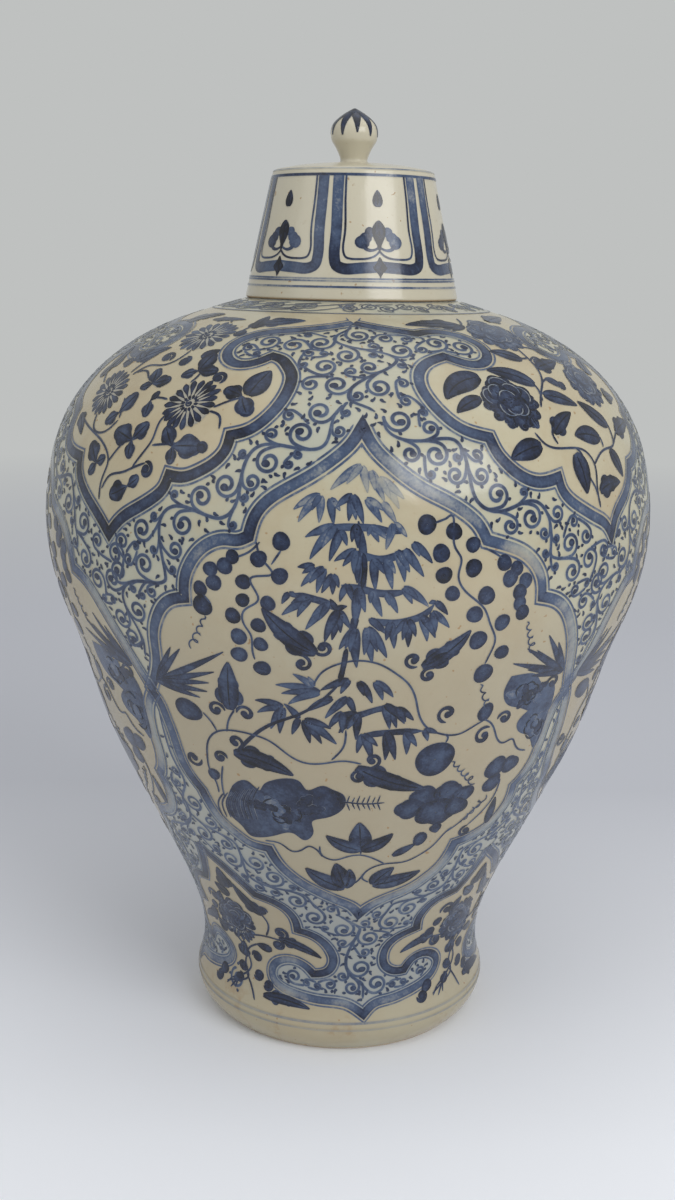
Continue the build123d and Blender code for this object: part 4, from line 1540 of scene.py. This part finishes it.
def scrollSpots(lowU, highU, lowV, highV):
    look = scrollLook
    spread = [[hand.uniform(lowU, highU), hand.uniform(lowV, highV)] for n in range(look["tries"])]
    spread = np.array(spread)
    spread = spread[isGround(spread[:, 0], spread[:, 1]) & (spread[:, 1] < ringLow)]
    scale = perMm(jarSkin, spread[:, 1])
    spare = borderGap(spread) - look["border"]
    fromStem = np.array([nearestStem(u, v)[1] for u, v in spread]) / scale
    kept = np.zeros((0, 3))

    def fromKept(n):  # millimetres from a spot to the nearest curl
        u, v = spread[n]
        return (np.hypot(kept[:, 0] - u, kept[:, 1] - v) / scale[n] - kept[:, 2]).min(initial=1e9)

    for size in look["sizes"]:
        order = np.argsort(fromStem + np.array([hand.uniform(0, look["shuffle"]) for n in fromStem]))
        for n in order:
            clear = spare[n] >= size * 0.94 and fromStem[n] >= size + look["gap"]
            if clear and fromKept(n) >= size + look["gap"]:
                kept = np.vstack([kept, [*spread[n], size]])
    dots = []
    for n, (u, v) in enumerate(spread):
        if spare[n] < look["dotBorder"] or fromStem[n] < look["dotStem"] or fromKept(n) <= look["dotGap"]:
            continue
        if all(math.hypot(u - a, v - b) > look["dotApart"] * scale[n] for a, b in dots):
            dots.append((u, v))
    return kept, dots


def comma(paint, u, v, angle, tone):
    scale = float(perMm(paint["skin"], v))
    along = np.array([math.cos(angle), math.sin(angle)]) * scrollLook["dotLength"] / 2 * scale
    side = np.array([-along[1], along[0]])
    line = smoothLine([(u, v) - along, (u, v) + side * 0.3, (u, v) + along], 0.5)
    width = scrollLook["dotWidth"]
    stroke(paint, line, [0.6, width * 0.8, width * 1.3], tone * 1.3, 2, (0.8, 0.4), ready=True)


def stemRoot(u, v, best, scale):  # a curl springs from the stem, a little way back
    back = min(int(curlLook["back"] * scale / scrollLook["stemStep"]), int(stemOrder[best]))
    root, way = stemPoints[best - back], stemWays[best - back]
    root = np.array([u + shortWay(root[0] - u), root[1]])
    left = way[0] * (v - root[1]) - way[1] * (u - root[0])
    return root, np.array([root - way * curlLook["tail"] * scale, root]), 1 if left > 0 else -1


def curlRoot(kept, n, scale):  # or from the curl beside it, where that is near enough
    u, v, size = kept[n]
    others = np.hypot(kept[:, 0] - u, kept[:, 1] - v)
    others[n] = 1e9
    other = int(others.argmin())
    sense = 1 if (n * 7 + other) % 3 else -1
    turned = math.atan2(v - kept[other, 1], u - kept[other, 0]) - sense * curlLook["lean"]
    away = kept[other, 2] * curlLook["rootAt"] * scale
    root = kept[other, :2] + away * np.array([math.cos(turned), math.sin(turned)])
    near = others[other] / scale <= size + kept[other, 2] + curlLook["curlReach"]
    return root, np.array([root]) if near else None, sense


def bySize(key, size):  # so much, and so much more for each millimetre of the curl's size
    least, more = curlLook[key]
    return least + more * size


def scrollCurl(paint, kept, n, tone):
    u, v, size = kept[n]
    scale = float(perMm(jarSkin, v))
    best, apart = nearestStem(u, v)
    if apart / scale < size + curlLook["stemReach"]:
        root, tail, sense = stemRoot(u, v, best, scale)
    else:
        root, tail, sense = curlRoot(kept, n, scale)
    radius = size - curlLook["inside"]
    rim = radius * scale
    distance = max(math.hypot(root[0] - u, root[1] - v), rim * 1.02)
    start = math.atan2(root[1] - v, root[0] - u) + sense * math.acos(rim / distance)
    turns = bySize("turns", size)
    line = spiralLine((u, v), radius, turns, start, sense, scale, curlLook["inner"], tail)
    line = smoothLine(line, 0.5)
    width = scrollLook["line"] * bySize("width", size)
    widths = [width] * 7 + [width * 1.15, width * 1.3]
    stroke(paint, line, widths, tone, 2, (0.6, 0.2), ready=True, skirt=scrollLook["halo"])
    blob(paint, line[-1], bySize("bulb", size), 1.15, 0, tone * 1.4, 3, ready=True)
    first, further = curlLook["thornAt"]
    for q in range(2 if size > curlLook["twoThorns"] else 1):  # small thorns on the outer turn
        angle = start + sense * (first + further * q)
        lean = angle + sense * curlLook["thornLean"]
        foot = np.array([u, v]) + rim * np.array([math.cos(angle), math.sin(angle)])
        tip = foot + curlLook["thorn"] * scale * np.array([math.cos(lean), math.sin(lean)])
        stroke(paint, smoothLine([foot, tip], 0.5), [0.8, 1.3, 1.5], tone * 1.3, 3, (0.2, 0.5), ready=True)


def paintScrolls(name, bounds, ownStems, tone):
    paint = newPaint(jarSkin)
    widths = [0.7] + [scrollLook["stem"]] * 6 + [0.8]
    for line in ownStems:
        stroke(paint, line, widths, tone * 1.05, 3, (1.5, 1.5), ready=True, skirt=scrollLook["halo"])
    kept, dots = scrollSpots(*bounds)
    for n in range(len(kept)):
        scrollCurl(paint, kept, n, tone)
    for u, v in dots:
        comma(paint, u, v, hand.uniform(0, 2 * math.pi), tone)
    finishPaint(paint, name, "jar")
    print("  scrolls:", len(kept), "dots:", len(dots))


def paintQuarter(k):  # a quarter of the ground, above the main panels' widest points and then below
    foot, waist, arch = (sheetLevel(jarSkin, height) for height in scrollLook["heights"])
    own = stems[k * len(stripMiddles):(k + 1) * len(stripMiddles)]
    here = sheetRadius * math.radians(scrollLook["middle"]) + quarter * (k - 0.5)
    upper = (here, here + quarter, waist - scrollLook["overlap"], arch)
    paintScrolls(f"upper_scrolls_{k + 1}", upper, own[:3], scrollLook["tone"])
    here = quarter * (k - 0.5)
    lower = (here, here + quarter, foot, waist + scrollLook["overlap"])
    paintScrolls(f"lower_scrolls_{k + 1}", lower, own[3:], scrollLook["lowTone"])


# Lines all the way round, and the ring of scrolls between two of them

hoopLook = {
    "points": 380, "sway": 0.12, "swayTurns": 12.566, "tones": ((0.25, 18.85), (0.1, 75.4)),
    "ring": ((ringHeights[0], 0.7, 0.6), (ringHeights[1], 0.6, 0.45)),  # height, width, tone
    "foot": ((17.0, 0.9, 0.18), (20.5, 1.1, 0.21)),
}
ringLook = {
    "count": 44, "height": 433.0, "radius": 4.3, "line": 0.65, "tone": 0.62,
    "up": 1.2, "stem": (0.8, 4.2), "tick": ((3.4, 3.5), (5, 5.2)),
}


def hoop(paint, height, width, tone):
    count, ((deep, slow), (fine, quick)) = hoopLook["points"], hoopLook["tones"]
    u = np.linspace(0, roundSheet, count)
    v = np.full(count, sheetLevel(paint["skin"], height))
    v = v + hoopLook["sway"] * np.sin(np.linspace(0, hoopLook["swayTurns"], count) + height)
    load = 1 + deep * np.sin(np.linspace(0, slow, count) + height)
    load = load + fine * np.sin(np.linspace(0, quick, count))
    ribbon(paint, np.stack([u, v], 1), np.full(count, width / 2), tone * load, 2)


def ringOfScrolls():
    paint = newPaint(jarSkin)
    top, radius, line, tone = ringLook["height"], ringLook["radius"], ringLook["line"], ringLook["tone"]
    back, down = ringLook["stem"]
    pitch = 2 * math.pi * float(np.interp(top, jarSkin["arc"], jarSkin["r"])) / ringLook["count"]
    for n in range(ringLook["count"]):
        x = n * pitch
        up = 1 if n % 2 else -1
        spot, stem = (x, top + up * ringLook["up"]), [(x - pitch * back, top - up * down)]
        curl(paint, spot, radius, 1.6, 90 * up, up, line, tone, 1.2, 2, stem)
        tick = [(x + along, top - up * below) for along, below in ringLook["tick"]]
        stroke(paint, tick, [0.5, 1.0, 0.5], 0.7, 2)
    for row in hoopLook["ring"]:
        hoop(paint, *row)
    finishPaint(paint, "ring_scrolls", "jar")


def footLines():
    paint = newPaint(jarSkin)
    for row in hoopLook["foot"]:
        hoop(paint, *row)
    finishPaint(paint, "foot_lines", "jar")


# The lid's six panels, drop and trefoil in each, and its ring lines

lidLook = {
    "count": 6, "first": 15.4, "low": 15.0, "high": 59.4, "half": 25.0,
    "lines": ((0.0, 4.9, 0.55, 1), (4.4, 0.75, 0.75, 2)),  # inside the panel's edge, width, tone, level
    "watery": ((0, 0.45, 0.68, 0.85, 1), (0.9, 0.95, 1.4, 1.2, 1.0)),  # pale above, heaped in the corner
    "lozenge": ((0, -4.8), (1.6, -2), (3.3, 0), (1.8, 2.2), (0, 5.2), (-1.8, 2.2), (-3.3, 0), (-1.6, -2)),
    "lobes": ((4.2, 32.2, 2.2, 1.1, 0.85), (6.2, 29.6, 2.4, 1.1, 0.9), (7.9, 27.4, 3.1, 1.05, 0.8)),
    "hook": ((0, 25), (2.2, 23.8), (4.6, 23.5), (6.6, 24.6), (7.2, 26.4)),
    "hoops": ((59.8, 1.1, 0.6), (9.7, 0.7, 0.42), (8.6, 0.6, 0.4), (5.6, 0.8, 0.42)),  # height, width, tone
    "topHoop": (2.8, 0.6, 0.26),
}
rising = len(lidSkin["z"]) * 2 // 3  # the rows up the lid's side come first, then those of its dome
lidRimArc = float(np.interp(lidLow + 1.0, lidSkin["z"], lidSkin["arc"]))
lidTopArc = float(np.interp(lidTop - 0.5, lidSkin["z"][:rising], lidSkin["arc"][:rising]))


def lidAt(across, height):  # across the panel as a share of half its width; height up the lid's side
    arc = float(np.interp(height, [0, lid["sideHeight"]], [lidRimArc, lidTopArc]))
    radius = float(np.interp(arc, lidSkin["arc"], lidSkin["r"]))
    return (across * radius * math.radians(lidLook["half"]), arc)


def lidSpot(x, height):  # x in millimetres from the panel's middle
    return (x, lidAt(0, height)[1])


def panelSide(side, inset):  # half of the panel's outline: down its side and along its foot to the middle
    low, high = lidLook["low"] + inset, lidLook["high"]
    edge, corner = 1 - inset / 22, 3.6 - inset * 0.3
    dip, tip = (1.6, 3.6) if inset else (0.5, 0.8)
    rows = (
        (edge, high), (edge, 44), (edge, 30), (edge, low + corner), (edge - 0.035, low + corner * 0.4),
        (edge - 0.13, low), (0.5, low - 0.2), (0.26, low + 0.2), (0.1, low + dip), (0, low + tip),
    )
    return [lidAt(side * across, height) for across, height in rows]


def paintTrefoil(paint):
    leaf(paint, lidSpot(0, 44.4), lidSpot(0, 52.4), 4.6, 0, 1.0, 2, 0.8, 0.36)
    leaf(paint, lidSpot(0, 24.6), lidSpot(0, 37.8), 6.2, 0, 1.05, 4, 1.2, 0.6)
    for side in (-1, 1):
        paler = 0.9 if side < 0 else 0.66
        for x, height, radius, stretch, tone in lidLook["lobes"]:
            blob(paint, lidSpot(side * x, height), radius, stretch, 0, tone * paler, 2)
        hook = [lidSpot(side * x, height) for x, height in lidLook["hook"]]
        stroke(paint, hook, [0.7, 0.9, 1.4, 2.2], 0.9 * paler, 3, (0.6, 0.4))
    stroke(paint, [lidSpot(0, 31), lidSpot(0, 26), lidSpot(0, 22.4)], [2.4, 1.8, 1.2], 1.1, 5)


def paintLidPanel(k):
    paint = newPaint(lidSkin, lidLook["first"] + 360 / lidLook["count"] * k)
    for inset, width, tone, level in lidLook["lines"]:
        for side in (-1, 1):
            line = smoothLine(onSheet(paint, panelSide(side, inset)), 0.8)
            load = brushLoad(len(line), tone, 0.16)
            if not inset:
                load = load * np.interp(np.linspace(0, 1, len(line)), *lidLook["watery"])
            ribbon(paint, line, np.full(len(line), width / 2), load, level)
    low = lidLook["low"]
    lozenge = [lidSpot(x, low + up) for x, up in lidLook["lozenge"]]
    filledOutline(paint, lidSpot(0, low), lozenge, 1.1, 3)
    paintTrefoil(paint)
    finishPaint(paint, f"lid_panel_{k + 1}", "lid")


def lidHoops():
    paint = newPaint(lidSkin)
    for height, width, tone in lidLook["hoops"]:
        hoop(paint, lidAt(0, height)[1], width, tone)
    beyond, width, tone = lidLook["topHoop"]
    hoop(paint, lidTopArc + beyond, width, tone)
    finishPaint(paint, "lid_hoops", "lid")


def knobFlames():  # dark flames down from the bud's point, and the point itself
    paint = newPaint(knobSkin)
    total = knobSkin["arc"][-1]
    wide = float(np.interp(knobLow + knob["widest"], knobSkin["z"], knobSkin["arc"]))
    for k in range(knob["flames"]):
        paint["turn"] = 360 / knob["flames"] * k + 8 + hand.uniform(-3, 3)
        foot = wide - hand.uniform(0.0, 1.8)
        leaf(paint, (0, total - 2.5), (0, foot), 4.6, 0, 0.95, 2, 0, 0.4)
    paint["turn"] = 0
    top, tip = (float(np.interp(total - below, knobSkin["arc"], knobSkin["v"])) for below in (6.0, 0.5))
    u, v = np.meshgrid(np.linspace(0, roundSheet, 49), np.linspace(top, tip, 6))
    lift, tone = np.array([0.1, 0.3, 0.3, 0.3, 0.3, 0.3]), np.array([0.0, 0.8, 0.95, 1, 1, 1])
    addPatch(paint, u, v, lift[:, None], tone[:, None])
    finishPaint(paint, "knob_flames", "lid")


for k in range(4):
    paintGarden(k)
for k, (shape, turn) in enumerate(collarTurns):
    if shape is leftCollar:
        paintCollar(k, chrysanthemums, chrysanthemum, turn)
    else:
        paintCollar(k, peonies, peony, turn)
for k in range(4):
    paintFoot(k)
for k in range(4):
    paintQuarter(k)
ringOfScrolls()
footLines()
for k in range(lidLook["count"]):
    paintLidPanel(k)
lidHoops()
knobFlames()
print("painting done")


# The room: a pale floor, a pale world, soft lamps and the camera

room = {
    # painted light: the floor is paler towards the camera, across the nearer span
    "floor": tint(204, 207, 215), "floorPaintedLight": tint(246, 249, 255), "air": tint(191, 193, 192),
    "floorSize": 8.0, "nearer": (0.3, -0.15), "fade": (0.9, 2.2), "worldLight": 0.5, "target": (0, 0, 0.28),
    "lamps": (  # name, direction, distance, size, power
        ("windowLamp", (0.55, -0.7, 0.48), 1.5, (0.95, 0.64), 9.0),
        ("ceilingLamp", (0.1, -0.1, 1.0), 2.0, (2.2, 2.2), 9.5),
        ("fillLamp", (-0.8, -0.6, 0.5), 1.8, (1.2, 1.2), 3),
    ),
    "focal": 42.346, "eye": (0.0, -0.71315, 0.38983), "pitch": 0.23708, "yaw": -0.00613, "roll": 0.01668,
}


def makeFloor():
    far = room["floorSize"]
    mesh = bpy.data.meshes.new("floor")
    corners = [(-far, -far, 0), (far, -far, 0), (far, far, 0), (-far, far, 0)]
    mesh.from_pydata(corners, [], [(0, 1, 2, 3)])
    floor = addObject("floor", mesh)
    material = bpy.data.materials.new("paleFloor")
    nodes = NodeHelper(material)
    place = nodes.add("TexCoord").outputs["Object"]
    distance = nodes.add("VectorMath", {0: place}, operation="LENGTH").outputs["Value"]
    away = nodes.span(distance, *room["fade"])
    depth = nodes.add("SeparateXYZ", {0: place}).outputs[1]
    # painted light: the floor turns paler towards the camera
    colour = nodes.mix(nodes.span(depth, *room["nearer"]), room["floor"], room["floorPaintedLight"])
    bump = nodes.bump(nodes.noise(place, 3.0), 0.1, 0.01)
    cloth = nodes.add("BsdfPrincipled", {"Base Color": colour, "Roughness": 0.85, "Normal": bump}).outputs[0]
    air = nodes.add("Emission", {"Color": room["air"], "Strength": 1.0}).outputs[0]
    fading = nodes.maths("MULTIPLY", away, nodes.notLit())
    both = nodes.add("MixShader", {0: fading, 1: cloth, 2: air})
    nodes.add("OutputMaterial", {0: both.outputs[0]})
    mesh.materials.append(material)


def makeWorld():
    world = bpy.data.worlds.new("studio")
    bpy.context.scene.world = world
    nodes = NodeHelper(world)
    shown = nodes.add("Background", {"Color": room["air"], "Strength": 1.0}).outputs[0]
    light = nodes.add("Background", {"Color": (1, 1, 1, 1), "Strength": room["worldLight"]}).outputs[0]
    both = nodes.add("MixShader", {0: nodes.notLit(), 1: light, 2: shown})
    nodes.add("OutputWorld", {0: both.outputs[0]})


def makeLamp(name, direction, distance, size, power):
    data = bpy.data.lights.new(name, "AREA")
    data.shape = "RECTANGLE"
    data.size, data.size_y = size
    data.energy = power
    lamp = addObject(name, data)
    way = np.array(direction, float)
    way /= np.linalg.norm(way)
    lamp.location = np.array(room["target"]) + way * distance
    lamp.rotation_mode = "QUATERNION"
    lamp.rotation_quaternion = Vector(way).to_track_quat("Z", "Y")


def makeCamera():
    pitch, yaw, roll = room["pitch"], room["yaw"], room["roll"]
    ahead = Vector((math.sin(yaw) * math.cos(pitch), math.cos(yaw) * math.cos(pitch), -math.sin(pitch)))
    right = Vector((math.cos(yaw), -math.sin(yaw), 0))
    up = right.cross(ahead)
    tiltedRight = right * math.cos(roll) + up * math.sin(roll)
    tiltedUp = up * math.cos(roll) - right * math.sin(roll)
    data = bpy.data.cameras.new("camera")
    data.sensor_fit = "AUTO"
    data.sensor_width = 36.0
    data.lens = room["focal"]
    data.clip_start, data.clip_end = 0.01, 50
    camera = addObject("camera", data)
    turn = Matrix((tiltedRight, tiltedUp, -ahead)).transposed().to_4x4()
    camera.matrix_world = Matrix.Translation(Vector(room["eye"])) @ turn
    bpy.context.scene.camera = camera


makeFloor()
makeWorld()
for row in room["lamps"]:
    makeLamp(*row)
makeCamera()
bpy.context.scene.view_settings.view_transform = "Standard"
print("room made")
